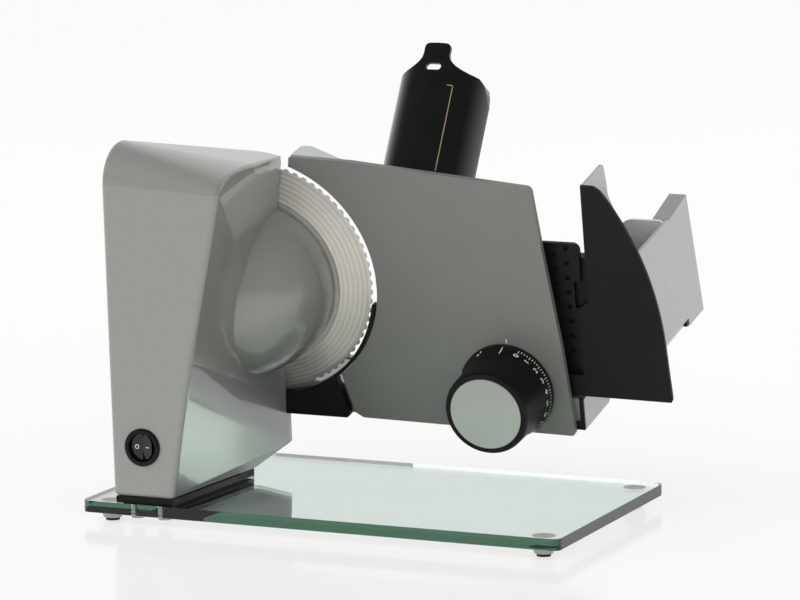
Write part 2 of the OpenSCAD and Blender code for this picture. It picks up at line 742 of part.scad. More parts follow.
/* Motor and pinion */
can_wall = 1.5;
can_floor = 2;
nose_l = 3;
shaft_r = 2.5;
shaft_back = -15;
bell_t = 4;
bell_plug = 12;
brush_w = 5;
brush_at = 8;
commutator_r = 7;
commutator_l = 10;
core_r = 14;
core_l = 34;
core_at = -86;
core_slots = 12;
core_slot_w = 2;
core_slot_r = 9;
winding_r = 12.5;
winding_l = 6;
pinion_c = -24.5;
pinion_w = 9;
can_end = frame_c - motor_l;
motor_head_r = 3;
motor_head_h = 2;

module motor_can() color([0.55, 0.56, 0.57]) in_unit() difference() {
    union() {
        bar(motor_at, can_end, motor_l, motor_r);
        bar(motor_at, frame_c - eps, nose_l + eps, motor_nose_r);
    }
    bar(motor_at, can_end - eps, motor_l - can_floor, motor_r - can_wall);
    bar(motor_at, can_end, motor_l + 2 * nose_l, shaft_r + fit);
    for (a = [0, 180]) bar(motor_at + motor_screw_pcr * [cos(a), sin(a)], frame_c - can_floor - eps,
        can_floor + 2 * eps, motor_screw_r + fit);
}

module motor_end_bell() color([0.16, 0.16, 0.17]) in_unit() difference() {
    union() {
        bar(motor_at, can_end - bell_t, bell_t, motor_r);
        bar(motor_at, can_end - eps, bell_plug, motor_r - can_wall - fit);
    }
    bar(motor_at, can_end, bell_plug + eps, commutator_r + brush_w);
    bar(motor_at, can_end - 2 * bell_t, 3 * bell_t, shaft_r + fit);
    translate([motor_at.x - motor_r, can_end + brush_at - brush_w / 2 - fit, motor_at.y - brush_w / 2 - fit])
        cube([2 * motor_r, brush_w + 2 * fit, brush_w + 2 * fit]);
}

module motor_brushes() color([0.2, 0.2, 0.2]) in_unit() for (k = [-1, 1]) difference() {
    x = k > 0 ? motor_at.x + commutator_r : motor_at.x - motor_r + can_wall + clear;
    translate([x, can_end + brush_at - brush_w / 2, motor_at.y - brush_w / 2])
        cube([motor_r - can_wall - clear - commutator_r, brush_w, brush_w]);
    bar(motor_at, can_end, 3 * brush_at, commutator_r + fit);
}

module armature() color([0.45, 0.42, 0.38]) in_unit() {
    bar(motor_at, can_end - bell_t, shaft_back - can_end + bell_t, shaft_r);
    bar(motor_at, can_end + bell_t / 2, commutator_l, commutator_r);
    translate([motor_at.x, 0, motor_at.y]) slab(core_at, core_l) difference() {
        circle(core_r);
        for (a = [0 : 360 / core_slots : 359]) rotate(a) translate([core_slot_r, -core_slot_w / 2])
            square([core_r, core_slot_w]);
    }
    for (c = [core_at - winding_l, core_at + core_l]) bar(motor_at, c - eps, winding_l + 2 * eps, winding_r);
}

module motor_pinion() color([0.75, 0.66, 0.4]) in_unit() translate([motor_at.x, 0, motor_at.y])
    slab(pinion_c, pinion_w) difference() {
        rotate(mesh_turn + 180 + 180 / pinion_teeth) gear_outline(pinion_teeth);
        circle(shaft_r + fit / 2);
    }

module motor_screws() color([0.7, 0.7, 0.7]) in_unit() for (a = [0, 180]) {
    p = motor_at + motor_screw_pcr * [cos(a), sin(a)];
    bar(p, frame_c + frame_t, motor_head_h, motor_head_r);
    bar(p, frame_c - can_floor, can_floor + frame_t + eps, motor_screw_r);
}

/* Arm */
end_t = 3;
end_corner_r = 2;
slot_wall = 3;
slot_d = 8;
slot_gap = 4;
arm_v1 = -arm_top;
arm_v0 = -arm_top - arm_h;
arm_back = arm_c + arm_d;
slot_c0 = arm_back - arm_wall - slot_d;
slot_gap_c0 = slot_c0 + (slot_d - slot_gap) / 2;
guide_x = [110, 214];
guide_v = -91.2;
guide_r = 4;
stop_bush_r = 6.5;
stop_bush_l = 12;
spindle_r = 5;
spindle_drop = 18;
spindle_at = [knob_x, -knob_drop - spindle_drop];
spindle_hole_r = 6;
nut_w = 18;
nut_h = 15;
nut_l = 10;
trim_w = 3;
trim_t = 2;
trim_strip = 5.9;
trim_left = 80;
trim_over = 1;
cap_t = 2;

module arm_section() {
    difference() {
        translate([arm_c, arm_v0]) square([arm_d, arm_h]);
        translate([arm_c + arm_wall, arm_v0 + arm_wall])
            square([slot_c0 - slot_wall - arm_c - arm_wall, arm_h - 2 * arm_wall]);
        translate([slot_c0, arm_v0 + arm_wall]) square([slot_d, arm_h - 2 * arm_wall]);
        translate([slot_gap_c0, arm_v1 - 2 * arm_wall]) square([slot_gap, 3 * arm_wall]);
    }
}

module arm_beam() color([0.66, 0.67, 0.67]) in_unit() difference() {
    rail(-arm_start, arm_end + arm_start - end_t) arm_section();
    for (x = guide_x) bar([x, guide_v], arm_c - eps, arm_wall + 2 * eps, stop_bush_r + fit);
    bar(spindle_at, arm_c - eps, arm_wall + 2 * eps, spindle_hole_r);
    for (p = bracket_screw_at) bar(p, arm_c - eps, arm_wall + 2 * eps, arm_screw_r + fit);
}

module arm_end_plate() color([0.72, 0.73, 0.73]) in_unit() rail(arm_end - end_t, end_t)
    translate([arm_c, arm_v0]) round_rect([arm_d, arm_h], end_corner_r);

module arm_cap() color([0.12, 0.12, 0.12]) in_unit() rail(-arm_start - cap_t, cap_t)
    translate([arm_c, arm_v0]) round_rect([arm_d, arm_h], end_corner_r);

module arm_trim() color([0.09, 0.09, 0.09]) in_unit() slab(arm_c - trim_t, trim_t) {
    translate([arm_end - trim_w, arm_v0]) square([trim_w, arm_h + trim_over]);
    translate([trim_left, arm_v0]) square([arm_end - trim_left, trim_strip]);
}

module arm_screws() color([0.7, 0.7, 0.7]) in_unit() for (p = bracket_screw_at) {
    bar(p, arm_c + arm_wall, arm_screw_head_h, arm_screw_head_r);
    bar(p, arm_c - arm_screw_deep + clear, arm_screw_deep + arm_wall - clear + eps, arm_screw_r);
}

module stop_bushes() color([0.85, 0.84, 0.8]) in_unit() for (x = guide_x) difference() {
    bar([x, guide_v], arm_c, stop_bush_l, stop_bush_r);
    bar([x, guide_v], arm_c - eps, stop_bush_l + 2 * eps, guide_r + fit);
}

module spindle_nut() color([0.72, 0.55, 0.3]) in_unit() difference() {
    slab(arm_c + arm_wall, nut_l) translate([spindle_at.x - nut_w / 2, spindle_at.y - nut_h / 2])
        square([nut_w, nut_h]);
    bar(spindle_at, arm_c + arm_wall - eps, nut_l + 2 * eps, spindle_r + fit);
}

/* Stop plate and its drive */
stop_c = -0.5;
stop_front = stop_c - stop_t;
stop_arc_start = 69;
stop_arc_end = -51.2;
stop_outline = [[64.3, -98.9], [70, -102.2], [228.5, -104.8], [223.6, -40.4], [214.9, 32.8], [210.4, 77.1],
    [79, 89.5], [33.4, 91.2], [32.8, 86.4]];
stop_corners = [0, 3, 4, 3, 0, 0, 4, 0, 1.5, 0];
stop_steps = 40;
guide_l = 36;
post_r_knob = 6;
knob_c = stop_front - clear;
knob_post_l = 36;
knob_screw_r = 2.5;
knob_screw_l = 12;
knob_washer_r = 9;
knob_washer_h = 2.5;
skirt_r = 30;
skirt_d = 9;
small_teeth = 18;
small_w = 6;
cap_deep = 1.5;
cap_proud = 0.5;
spindle_back = 36;
knob_at = [knob_x, -knob_drop];
flat_h = 4;
shoulder_r = 32;
shoulder_at = 12;
waist_r = 30.8;
waist_at = 20;
rim_round = 2;

module stop_plate() color([0.47, 0.49, 0.47]) in_unit() difference() {
    slab(stop_front, stop_t) polygon(concat(
        [for (i = [0 : stop_steps - 1]) let (a = stop_arc_start + (stop_arc_end - stop_arc_start) * i / stop_steps)
            stop_arc_r * [cos(a), sin(a)]],
        rounded(concat([stop_arc_r * [cos(stop_arc_end), sin(stop_arc_end)]], stop_outline), stop_corners)));
    bar(spindle_at, stop_front - eps, stop_t + 2 * eps, spindle_r + fit);
}

// The ear that stands back from the top of the stop plate and covers the blade's edge
ear_t = 1.5;
ear_back = 18.5;
ear_tip_x = 41;
ear_foot_x = 71.6;
ear_corner_r = 4;
module stop_ear() color([0.75, 0.76, 0.76]) in_unit() intersection() {
    a = stop_outline[7];
    b = stop_outline[6];
    slab(stop_c, ear_back - stop_c) polygon([a, b, b - [0, ear_t], a - [0, ear_t]]);
    translate([0, 0, a.y - stop_arc_r / 2]) linear_extrude(stop_arc_r) polygon(rounded([[a.x, stop_c],
        [ear_foot_x, stop_c], [ear_tip_x, ear_back], [a.x, ear_back]], [0, 0, ear_corner_r, ear_corner_r]));
}

module stop_guides() color([0.7, 0.7, 0.7]) in_unit() for (x = guide_x)
    bar([x, guide_v], stop_c, guide_l, guide_r);

module knob_post() color([0.7, 0.7, 0.7]) in_unit() difference() {
    bar(knob_at, stop_front - knob_post_l, knob_post_l, post_r_knob);
    bar(knob_at, stop_front - knob_post_l - eps, knob_screw_l, knob_screw_r + fit);
}

module knob_screw() color([0.65, 0.65, 0.65]) in_unit() {
    bar(knob_at, stop_front - knob_post_l - knob_washer_h, knob_washer_h, knob_washer_r);
    bar(knob_at, stop_front - knob_post_l - eps, knob_screw_l - clear, knob_screw_r);
}

module spindle() color([0.68, 0.68, 0.68]) in_unit()
    bar(spindle_at, knob_c - skirt_d + 2 * clear, spindle_back - knob_c + skirt_d - 2 * clear, spindle_r);

module spindle_gear() color([0.85, 0.83, 0.75]) in_unit() translate([spindle_at.x, 0, spindle_at.y])
    slab(knob_c - skirt_d + 2 * clear, small_w) difference() {
        rotate(90) gear_outline(small_teeth);
        circle(spindle_r + fit / 2);
    }

module knob_body() color([0.07, 0.07, 0.07]) in_unit() mirror([0, 1, 0]) difference() {
    turned(knob_at, -knob_c) polygon([[0, 0], [knob_skirt_r, 0], [knob_skirt_r, flat_h], [shoulder_r, shoulder_at],
        [waist_r, waist_at], [knob_grip_r, knob_h - rim_round], [knob_grip_r - rim_round / 2, knob_h], [0, knob_h]]);
    bar(knob_at, -knob_c - eps, knob_h, post_r_knob + fit);
    bar(knob_at, -knob_c - eps, skirt_d + eps, skirt_r);
    bar(knob_at, -stop_front + knob_post_l - clear, knob_h, knob_washer_r + clear);
    bar(knob_at, -knob_c + knob_h - cap_deep, knob_h, knob_cap_r + fit);
}

module knob_gear() color([0.85, 0.83, 0.75]) in_unit() translate([knob_at.x, 0, knob_at.y])
    slab(knob_c - skirt_d, skirt_d - clear) difference() {
        rotate(90 + 180 / small_teeth) gear_outline(small_teeth);
        circle(post_r_knob + fit);
    }

module knob_cap() color([0.6, 0.61, 0.6]) in_unit()
    bar(knob_at, knob_c - knob_h - cap_proud, cap_deep + cap_proud, knob_cap_r);

/* Carriage */
floor_v = -floor_drop;
floor_under = -floor_drop - sheet;
floor_corner_r = 8;
fin_t = 2.5;
fin_back = run_gap + fin_t;
wall_x = push_x;
wall_t = 1.6;
wall_back = 43;
wall_rise = 1.1;
wall_chamfer = [46.8, 75.8];
wall_bend = [50.2, 62];
wall_knee = [51, 53];
web_c = 64;
web_top = 30.5;
outer_near_top = 29.6;
outer_dip = 29;
outer_dip_run = 6;
outer_top = 33.6;
outer_back = 108;
outer_foot = 127;
outer_low = -60;
outer_step = 6;
outer_step_c = 95;
lip_w = 12.4;
lip_c = 108;
base_v = -56;
base_c0 = 40;
base_c1 = 125;
web_round_r = 12;
lug_low = -14;
lug_high = 6;
lug_run = 55;
lug_l = 12;
holder_c = 8;
shoe_x = [[150, 16], [212, 18]];
shoe_pad_d = 15;
shoe_head_h = 8;
shoe_stem_clear = 0.3;
carriage_screw_r = 2;
carriage_screw_head_r = 3.8;
carriage_screw_l = 12;
carriage_screw_head_h = 1.4;
catch_l = 5;
catch_h = 4.6;

fin_foot_in = 25.5;
fin_foot_x = push_x - fin_foot_in;
// The guard's curved edge, from the push wall's food face across and from the blade axis up
fin_curve = [[9.4, 77.2], [13.8, 74.2], [23.2, 60.4], [33.7, 40.4], [41.6, 21], [47.8, -1.2], [51.9, -26.1],
    [54.1, -58.9], [55.1, -76.2], [54.1, -78.2]];
fin_bend = [for (i = [1 : len(fin_curve) - 3]) each [for (k = [0 : 3])
    curve_point([for (j = [-1 : 2]) fin_curve[i + j]], k / 4)]];
// Its inner edge, which steps out over the holder's margin below the lug's slot
fin_inner = [[-9.7, -77.6], [-25.2, -77.6], [-25.2, -66], [-21.2, -62], [-8.1, -62], [-9, -45], [-8.7, -13],
    [-0.9, -7.6], [-0.4, 22.9], [0.3, 77.6]];
fin_points = [for (p = concat([fin_curve[0]], fin_bend, [fin_curve[8], fin_curve[9]], fin_inner)) p + [push_x, 0]];

module carriage_floor() color([0.72, 0.73, 0.72]) in_unit() difference() {
    translate([0, 0, floor_under]) linear_extrude(sheet) polygon(rounded([[floor_left, run_gap],
        [fin_foot_x, run_gap], [fin_foot_x, fin_back], [push_x, fin_back], [push_x, floor_depth],
        [floor_left, floor_depth]], [2 * sheet, 0, 0, 0, 0, floor_corner_r]));
    for (s = shoe_x) translate([s[0] + s[1] / 2, slot_gap_c0 + slot_gap / 2, floor_under - eps]) {
        cylinder(r = carriage_screw_r + fit, h = 2 * sheet);
        translate([0, 0, sheet - carriage_screw_head_h]) cylinder(r = carriage_screw_head_r + fit, h = sheet);
    }
}

module slider_shoes() color([0.15, 0.15, 0.15]) in_unit() for (s = shoe_x) difference() {
    rail(s[0], s[1]) {
        translate([arm_back - shoe_pad_d, arm_v1 + fit]) square([shoe_pad_d, floor_under - arm_v1 - fit]);
        translate([slot_gap_c0 + shoe_stem_clear, arm_v1 - arm_wall - shoe_head_h])
            square([slot_gap - 2 * shoe_stem_clear, floor_under - arm_v1 + arm_wall + shoe_head_h]);
        translate([slot_c0 + shoe_stem_clear, arm_v1 - arm_wall - shoe_head_h])
            square([slot_d - 2 * shoe_stem_clear, shoe_head_h - shoe_stem_clear]);
    }
    translate([s[0] + s[1] / 2, slot_gap_c0 + slot_gap / 2, floor_under - carriage_screw_l])
        cylinder(r = carriage_screw_r / 2 + fit, h = carriage_screw_l + eps);
}

module carriage_screws() color([0.7, 0.7, 0.7]) in_unit() for (s = shoe_x)
    translate([s[0] + s[1] / 2, slot_gap_c0 + slot_gap / 2, 0]) {
        translate([0, 0, floor_v - carriage_screw_head_h]) cylinder(r = carriage_screw_head_r, h = carriage_screw_head_h);
        translate([0, 0, floor_under]) cylinder(r = carriage_screw_r, h = sheet - carriage_screw_head_h + eps);
        translate([0, 0, floor_under - carriage_screw_l + clear])
            cylinder(r = carriage_screw_r / 2, h = carriage_screw_l - clear + eps);
    }

module push_wall() color([0.7, 0.71, 0.7]) in_unit() difference() {
    rail(wall_x, wall_t) polygon([[fin_back, push_top], [wall_back, push_top + wall_rise], wall_chamfer, wall_bend,
        wall_knee, [web_c + sheet, web_top], [floor_depth, outer_low], [floor_depth, floor_under],
        [fin_back, floor_under]]);
    translate([wall_x - eps, fin_back, lug_low - clear])
        cube([wall_t + 2 * eps, holder_c + lug_run + lug_l - fin_back, lug_high - lug_low + 2 * clear]);
}

module thumb_guard() color([0.13, 0.13, 0.13]) in_unit() slab(run_gap, fin_t) polygon(fin_points);

module outer_wall() color([0.68, 0.69, 0.69]) in_unit() {
    rail(outer_x - sheet, sheet) polygon([[fin_back, outer_near_top], [web_c, outer_near_top],
        [web_c + outer_dip_run, outer_dip], [outer_back, outer_top], [outer_foot, outer_low],
        [outer_step_c, outer_low], [outer_step_c, outer_low + outer_step], [fin_back, outer_low + outer_step]]);
    rail(outer_x - lip_w, lip_w) polygon([[web_c + outer_dip_run, outer_dip - sheet], [lip_c, outer_top - sheet],
        [lip_c, outer_top], [web_c + outer_dip_run, outer_dip]]);
}

module grip_frame() color([0.6, 0.61, 0.6]) in_unit() {
    slab(web_c, sheet) polygon(rounded([[wall_x + wall_t, base_v - sheet / 2], [outer_x - sheet, base_v - sheet / 2],
        [outer_x - sheet, outer_dip], [outer_x - 2 * sheet, web_top], [wall_x + wall_t, web_top]],
        [0, 0, 0, sheet, web_round_r]));
    translate([wall_x + wall_t, base_c0, base_v - sheet])
        cube([outer_x - sheet - wall_x - wall_t, base_c1 - base_c0, sheet]);
}

module carriage_catch() color([0.1, 0.1, 0.1]) in_unit()
    translate([outer_x - sheet, outer_step_c - catch_l, outer_low + outer_step - catch_h])
        cube([sheet, catch_l - fit, catch_h]);

/* Remnant holder */
holder_plate_t = 3;
plate_left = 84;
hood_x = 118.4;
plate_top = 33;
plate_corner = 5;
plate_edge = [[push_x - 6.1, 25.4], [push_x - 10.9, -74.6]];
plate_notch = [[push_x - 11.8, 5.4], [push_x - 11.8, -14]];
hood_axis = [70.8, 95];
hood_rim = 24.6;
hood_neck = 36;
hood_tab = 43.6;
hood_tab_w = 9.6;
hood_tab_r = 3;
hood_shoulder = 29;
hood_fall = [[hood_r, 10], [hood_r - 0.9, 17.5], [hood_r - 2.4, 22.4]];
hang_at = 25.7;
hang_w = 11;
hang_h = 5;
hood_long = 150;
// Right half of the hood's outline, from its foot up past the shoulder to the tab
hood_side = concat([[hood_r, -hood_long]], hood_fall,
    [for (i = [0 : 6]) [hood_tab_w + (hood_shoulder - hood_tab_w) * (1 - sin(15 * i)),
        hood_rim + (hood_neck - hood_rim) * (1 - cos(15 * i))]],
    [for (a = [0 : 30 : 90]) [hood_tab_w - hood_tab_r * (1 - cos(a)), hood_tab - hood_tab_r * (1 - sin(a))]]);
apron_low = 31.3;
apron_high = 48.4;
spike_r = 1.6;
spike_tip_r = 0.5;
spike_l = 4.4;
spike_pitch = 10.7;
spike_cols = [[push_x - 15.9, 29.1, 9], [push_x - 24.3, 23.9, 8]];
lug_in = 14.2;
lug_x0 = push_x - lug_in;
lug_x1 = push_x + wall_t - clear;
lug_neck_top = 22;

// Right edge of the holder's plate at height v
function edge_x(v) = plate_edge[1].x
    + (plate_edge[0].x - plate_edge[1].x) * (v - plate_edge[1].y) / (plate_edge[0].y - plate_edge[1].y);

module holder_plate() color([0.09, 0.09, 0.09]) in_unit() slab(holder_c, holder_plate_t) union() {
    polygon(rounded([plate_edge[1], [edge_x(plate_notch[1].y), plate_notch[1].y], plate_notch[1], plate_notch[0],
        [edge_x(plate_notch[0].y), plate_notch[0].y], plate_edge[0], [plate_edge[0].x, plate_top],
        [plate_left, plate_top], [plate_left, plate_edge[1].y]],
        [1, 0, 0, 0, 0, 0, plate_corner, plate_corner, plate_corner]));
    polygon([for (a = [0 : 5 : 180]) [hood_x + hood_r * cos(a), apron_low + apron_high * sin(a)]]);
}

module holder_spikes() color([0.12, 0.12, 0.12]) in_unit() for (s = spike_cols, i = [0 : s[2] - 1])
    turned([s[0], s[1] - spike_pitch * i], holder_c)
        polygon([[0, 0], [spike_r, 0], [spike_tip_r, -spike_l], [0, -spike_l]]);

module holder_lug() color([0.1, 0.1, 0.1]) in_unit() slab(holder_c + holder_plate_t, lug_l - holder_plate_t) {
    translate([lug_x0, lug_low]) square([lug_x1 - lug_x0, lug_high - lug_low]);
    translate([lug_x0, lug_high - eps]) square([wall_x - clear - lug_x0, lug_neck_top - lug_high]);
}

// The hood's own frame: x across, y along its axis, z out through its front line
module in_hood() {
    translate([hood_x, hood_axis.x, hood_axis.y]) rotate([90 - hood_lean, 0, 0]) children();
}

module holder_hood() color([0.08, 0.08, 0.08]) in_unit() difference() {
    in_hood() intersection() {
        translate([0, hood_long / 2, 0]) rotate([90, 0, 0]) linear_extrude(hood_long * 1.2) difference() {
            circle(hood_r);
            circle(hood_r - holder_t);
            translate([-2 * hood_r, -2 * hood_r]) square([4 * hood_r, 2 * hood_r]);
        }
        linear_extrude(2 * hood_r) polygon(concat(hood_side,
            [for (i = [len(hood_side) - 1 : -1 : 0]) [-hood_side[i].x, hood_side[i].y]]));
    }
    in_hood() translate([-hang_w / 2, hang_at - hang_h / 2, 0]) linear_extrude(2 * hood_r)
        round_rect([hang_w, hang_h], hang_h / 2 - eps);
    translate([hood_x - 2 * hood_r, holder_c + holder_plate_t - hood_long, -hood_long])
        cube([4 * hood_r, hood_long, 3 * hood_long]);
}

/* [Hidden] */

glass_plate();
foot_cups();
foot_pads();
plinth_washers();
plinth_screws();
plinth();
tower_shell();
switch_bezel();
switch_rocker();
cord_gland();
gland_nut();
gear_frame();
frame_screws();
gear_cover();
cover_screws();
blade_guard();
blade();
blade_screws();
blade_hub();
hub_bushes();
drive_gear();
blade_axle();
blade_cover();
cover_bolt();
motor_can();
motor_end_bell();
motor_brushes();
armature();
motor_pinion();
motor_screws();
arm_beam();
arm_end_plate();
arm_cap();
arm_trim();
arm_screws();
stop_bushes();
spindle_nut();
stop_plate();
stop_ear();
stop_guides();
knob_post();
knob_screw();
spindle();
spindle_gear();
knob_body();
knob_gear();
knob_cap();
carriage_floor();
slider_shoes();
carriage_screws();
push_wall();
thumb_guard();
outer_wall();
grip_frame();
carriage_catch();
holder_plate();
holder_spikes();
holder_lug();
holder_hood();
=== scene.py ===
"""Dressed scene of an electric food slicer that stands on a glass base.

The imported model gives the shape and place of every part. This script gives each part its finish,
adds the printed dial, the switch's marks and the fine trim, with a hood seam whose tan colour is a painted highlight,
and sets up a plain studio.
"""

from __future__ import annotations

import json
import logging
import math
from dataclasses import dataclass, field
from enum import Enum

import bmesh
import bpy
from mathutils import Matrix, Vector


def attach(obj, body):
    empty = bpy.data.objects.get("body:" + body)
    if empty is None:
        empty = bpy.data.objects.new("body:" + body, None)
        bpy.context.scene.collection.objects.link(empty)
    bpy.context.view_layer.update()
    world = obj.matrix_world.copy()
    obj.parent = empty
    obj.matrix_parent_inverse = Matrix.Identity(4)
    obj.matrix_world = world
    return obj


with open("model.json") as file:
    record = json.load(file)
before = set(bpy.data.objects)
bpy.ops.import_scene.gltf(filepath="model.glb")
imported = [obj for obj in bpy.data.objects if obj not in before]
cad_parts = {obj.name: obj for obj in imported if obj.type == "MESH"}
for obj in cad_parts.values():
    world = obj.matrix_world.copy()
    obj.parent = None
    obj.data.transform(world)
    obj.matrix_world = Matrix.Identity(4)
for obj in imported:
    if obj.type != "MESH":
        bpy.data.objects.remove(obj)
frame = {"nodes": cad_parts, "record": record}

LOG = logging.getLogger("food_slicer")
MM = 0.001


# Colour and node helpers


def linear(hex_colour: str) -> tuple[float, float, float, float]:
    """Turns an sRGB hex value into linear RGBA.

    Args:
        hex_colour: six hex digits with a leading hash.

    Returns:
        Linear red, green, blue and an alpha of 1.
    """
    parts = [int(hex_colour[i : i + 2], 16) / 255 for i in (1, 3, 5)]
    red, green, blue = [p / 12.92 if p <= 0.04045 else ((p + 0.055) / 1.055) ** 2.4 for p in parts]
    return red, green, blue, 1.0


def add_node(
    tree: bpy.types.NodeTree,
    kind: str,
    settings: dict[str, object] | None = None,
    values: dict[str | int, object] | None = None,
    links: dict[str | int, bpy.types.NodeSocket] | None = None,
) -> bpy.types.Node:
    """Adds one node with its settings, socket values and incoming links.

    Args:
        tree: the node tree to add to.
        kind: the node's type name.
        settings: properties of the node itself.
        values: default values of its input sockets, by name or number.
        links: output sockets to link to its inputs, by name or number.

    Returns:
        The new node.
    """
    node = tree.nodes.new(kind)
    for key, value in (settings or {}).items():
        setattr(node, key, value)
    for key, value in (values or {}).items():
        node.inputs[key].default_value = value
    for key, socket in (links or {}).items():
        tree.links.new(socket, node.inputs[key])
    return node


class Axis(Enum):
    """The direction that brushing or drawing lines run in."""

    X = (0.03, 1.0, 1.0)
    Y = (1.0, 0.03, 1.0)
    Z = (1.0, 1.0, 0.03)


@dataclass(frozen=True)
class UnitFrame:
    """The leaning frame of the cutting unit, in metres: x to the right, c to the food, v up the plane."""

    origin: tuple[float, float, float] = (-0.100, 0.030, 0.157)
    lean_deg: float = 14.0

    def facing(self, x: float, c: float, v: float) -> Matrix:
        """Gives a frame that looks out of the stop plate's front.

        Args:
            x: place across the unit, in mm.
            c: depth towards the food, in mm.
            v: height up the plane, in mm.

        Returns:
            A matrix whose X runs across, Y up the plane and Z out of the front.
        """
        lean = Matrix.Rotation(math.radians(self.lean_deg), 4, "X")
        return Matrix.Translation(self.origin) @ lean @ Matrix.Translation(Vector((x, c, v)) * MM) @ Matrix.Rotation(
            math.radians(90), 4, "X"
        )


UNIT = UnitFrame()


# Finishes


@dataclass(frozen=True)
class Finish:
    """A surface finish between two close tones. Its material is built once and then shared."""

    name: str
    roughness: float
    tone_low: str
    tone_high: str

    def material(self) -> bpy.types.Material:
        """Returns the finish's material and builds it on the first call."""
        made = bpy.data.materials.get(self.name)
        if made is not None:
            return made
        made = bpy.data.materials.new(self.name)
        made.use_nodes = True
        tree = made.node_tree
        shader = tree.nodes["Principled BSDF"]
        # The pattern takes this socket over; the value is for viewers that can't show patterns
        shader.inputs["Base Color"].default_value = linear(self.tone_low)
        shader.inputs["Roughness"].default_value = self.roughness
        self.dress(tree, shader)
        return made

    def dress(self, tree: bpy.types.NodeTree, shader: bpy.types.Node) -> None:
        """Adds the finish's own pattern to the shader."""
        raise NotImplementedError

    def places(self, tree: bpy.types.NodeTree) -> bpy.types.NodeSocket:
        """Returns the object's own coordinates, in metres."""
        return add_node(tree, "ShaderNodeTexCoord").outputs["Object"]

    def grain(
        self,
        tree: bpy.types.NodeTree,
        size_mm: float,
        detail: float = 3.0,
        stretch: tuple[float, float, float] = (1.0, 1.0, 1.0),
    ) -> bpy.types.NodeSocket:
        """Makes an even noise whose spots have a real size.

        Args:
            tree: the material's node tree.
            size_mm: size of one spot in millimetres.
            detail: octaves of finer noise.
            stretch: factor on each axis; a small one draws the spots out along it.

        Returns:
            The noise value, from 0 to 1.
        """
        mapping = add_node(tree, "ShaderNodeMapping", values={"Scale": stretch}, links={"Vector": self.places(tree)})
        noise = add_node(
            tree,
            "ShaderNodeTexNoise",
            values={"Scale": 1 / (size_mm * MM), "Detail": detail, "Roughness": 0.55},
            links={"Vector": mapping.outputs["Vector"]},
        )
        return noise.outputs["Fac"]

    def tint(
        self,
        tree: bpy.types.NodeTree,
        shader: bpy.types.Node,
        amount: bpy.types.NodeSocket,
        span: tuple[float, float] = (0.35, 0.65),
    ) -> None:
        """Varies the base colour between the finish's two tones.

        Args:
            tree: the material's node tree.
            shader: the principled shader.
            amount: the value that picks the tone.
            span: the values at which the two tones are reached.
        """
        ramp = add_node(tree, "ShaderNodeValToRGB", links={"Fac": amount})
        ramp.color_ramp.elements[0].position = span[0]
        ramp.color_ramp.elements[0].color = linear(self.tone_low)
        ramp.color_ramp.elements[1].position = span[1]
        ramp.color_ramp.elements[1].color = linear(self.tone_high)
        tree.links.new(ramp.outputs["Color"], shader.inputs["Base Color"])

    def vary(
        self,
        tree: bpy.types.NodeTree,
        shader: bpy.types.Node,
        amount: bpy.types.NodeSocket,
        spread: float,
    ) -> None:
        """Varies the roughness a little about its mean.

        Args:
            tree: the material's node tree.
            shader: the principled shader.
            amount: the value that drives it.
            spread: how far it goes each way.
        """
        mapped = add_node(
            tree,
            "ShaderNodeMapRange",
            values={
                "From Min": 0.3,
                "From Max": 0.7,
                "To Min": max(0.02, self.roughness - spread),
                "To Max": self.roughness + spread,
            },
            links={"Value": amount},
        )
        tree.links.new(mapped.outputs["Result"], shader.inputs["Roughness"])

    def relief(
        self,
        tree: bpy.types.NodeTree,
        shader: bpy.types.Node,
        height: bpy.types.NodeSocket,
        depth_mm: float,
        strength: float,
    ) -> None:
        """Raises the surface by a height pattern.

        Args:
            tree: the material's node tree.
            shader: the principled shader.
            height: the height, from 0 to 1.
            depth_mm: real depth in millimetres.
            strength: how much of it shows.
        """
        bump = add_node(
            tree,
            "ShaderNodeBump",
            values={"Distance": depth_mm * MM, "Strength": strength},
            links={"Height": height},
        )
        tree.links.new(bump.outputs["Normal"], shader.inputs["Normal"])


@dataclass(frozen=True)
class SilverEnamel(Finish):
    """Sprayed silver-grey enamel on a cast housing, with a clear coat.

    The flake gives a fine shimmer of tone, the spray a faint orange peel, and the clear coat a sharp
    but weak mirror image over it.
    """

    def dress(self, tree: bpy.types.NodeTree, shader: bpy.types.Node) -> None:
        """Adds flake, orange peel and the clear coat."""
        shader.inputs["Metallic"].default_value = 0.2
        shader.inputs["Coat Weight"].default_value = 0.7
        shader.inputs["Coat Roughness"].default_value = 0.05
        shader.inputs["Coat IOR"].default_value = 1.5
        # Real flake is 0.03 mm; it is drawn at 0.6 mm so that it shows at the render's scale
        self.tint(tree, shader, self.grain(tree, 0.6, 1.0))
        self.relief(tree, shader, self.grain(tree, 5.0, 2.0), 0.02, 0.12)


@dataclass(frozen=True)
class AnodisedSheet(Finish):
    """Aluminium sheet, blasted with fine beads and anodised: an even satin with a dull sheen."""

    metal: float = 0.55

    def dress(self, tree: bpy.types.NodeTree, shader: bpy.types.Node) -> None:
        """Adds the blasted grain and the slow cloud of the anodising bath."""
        shader.inputs["Metallic"].default_value = self.metal
        # Bead marks of 0.1 mm are drawn at 0.7 mm so that they show
        fine = self.grain(tree, 0.7, 4.0)
        cloud = self.grain(tree, 60.0, 2.0)
        both = add_node(
            tree, "ShaderNodeMix", settings={"data_type": "FLOAT"}, values={0: 0.45}, links={2: fine, 3: cloud}
        )
        self.tint(tree, shader, both.outputs[0])
        self.vary(tree, shader, fine, 0.05)
        self.relief(tree, shader, fine, 0.02, 0.10)


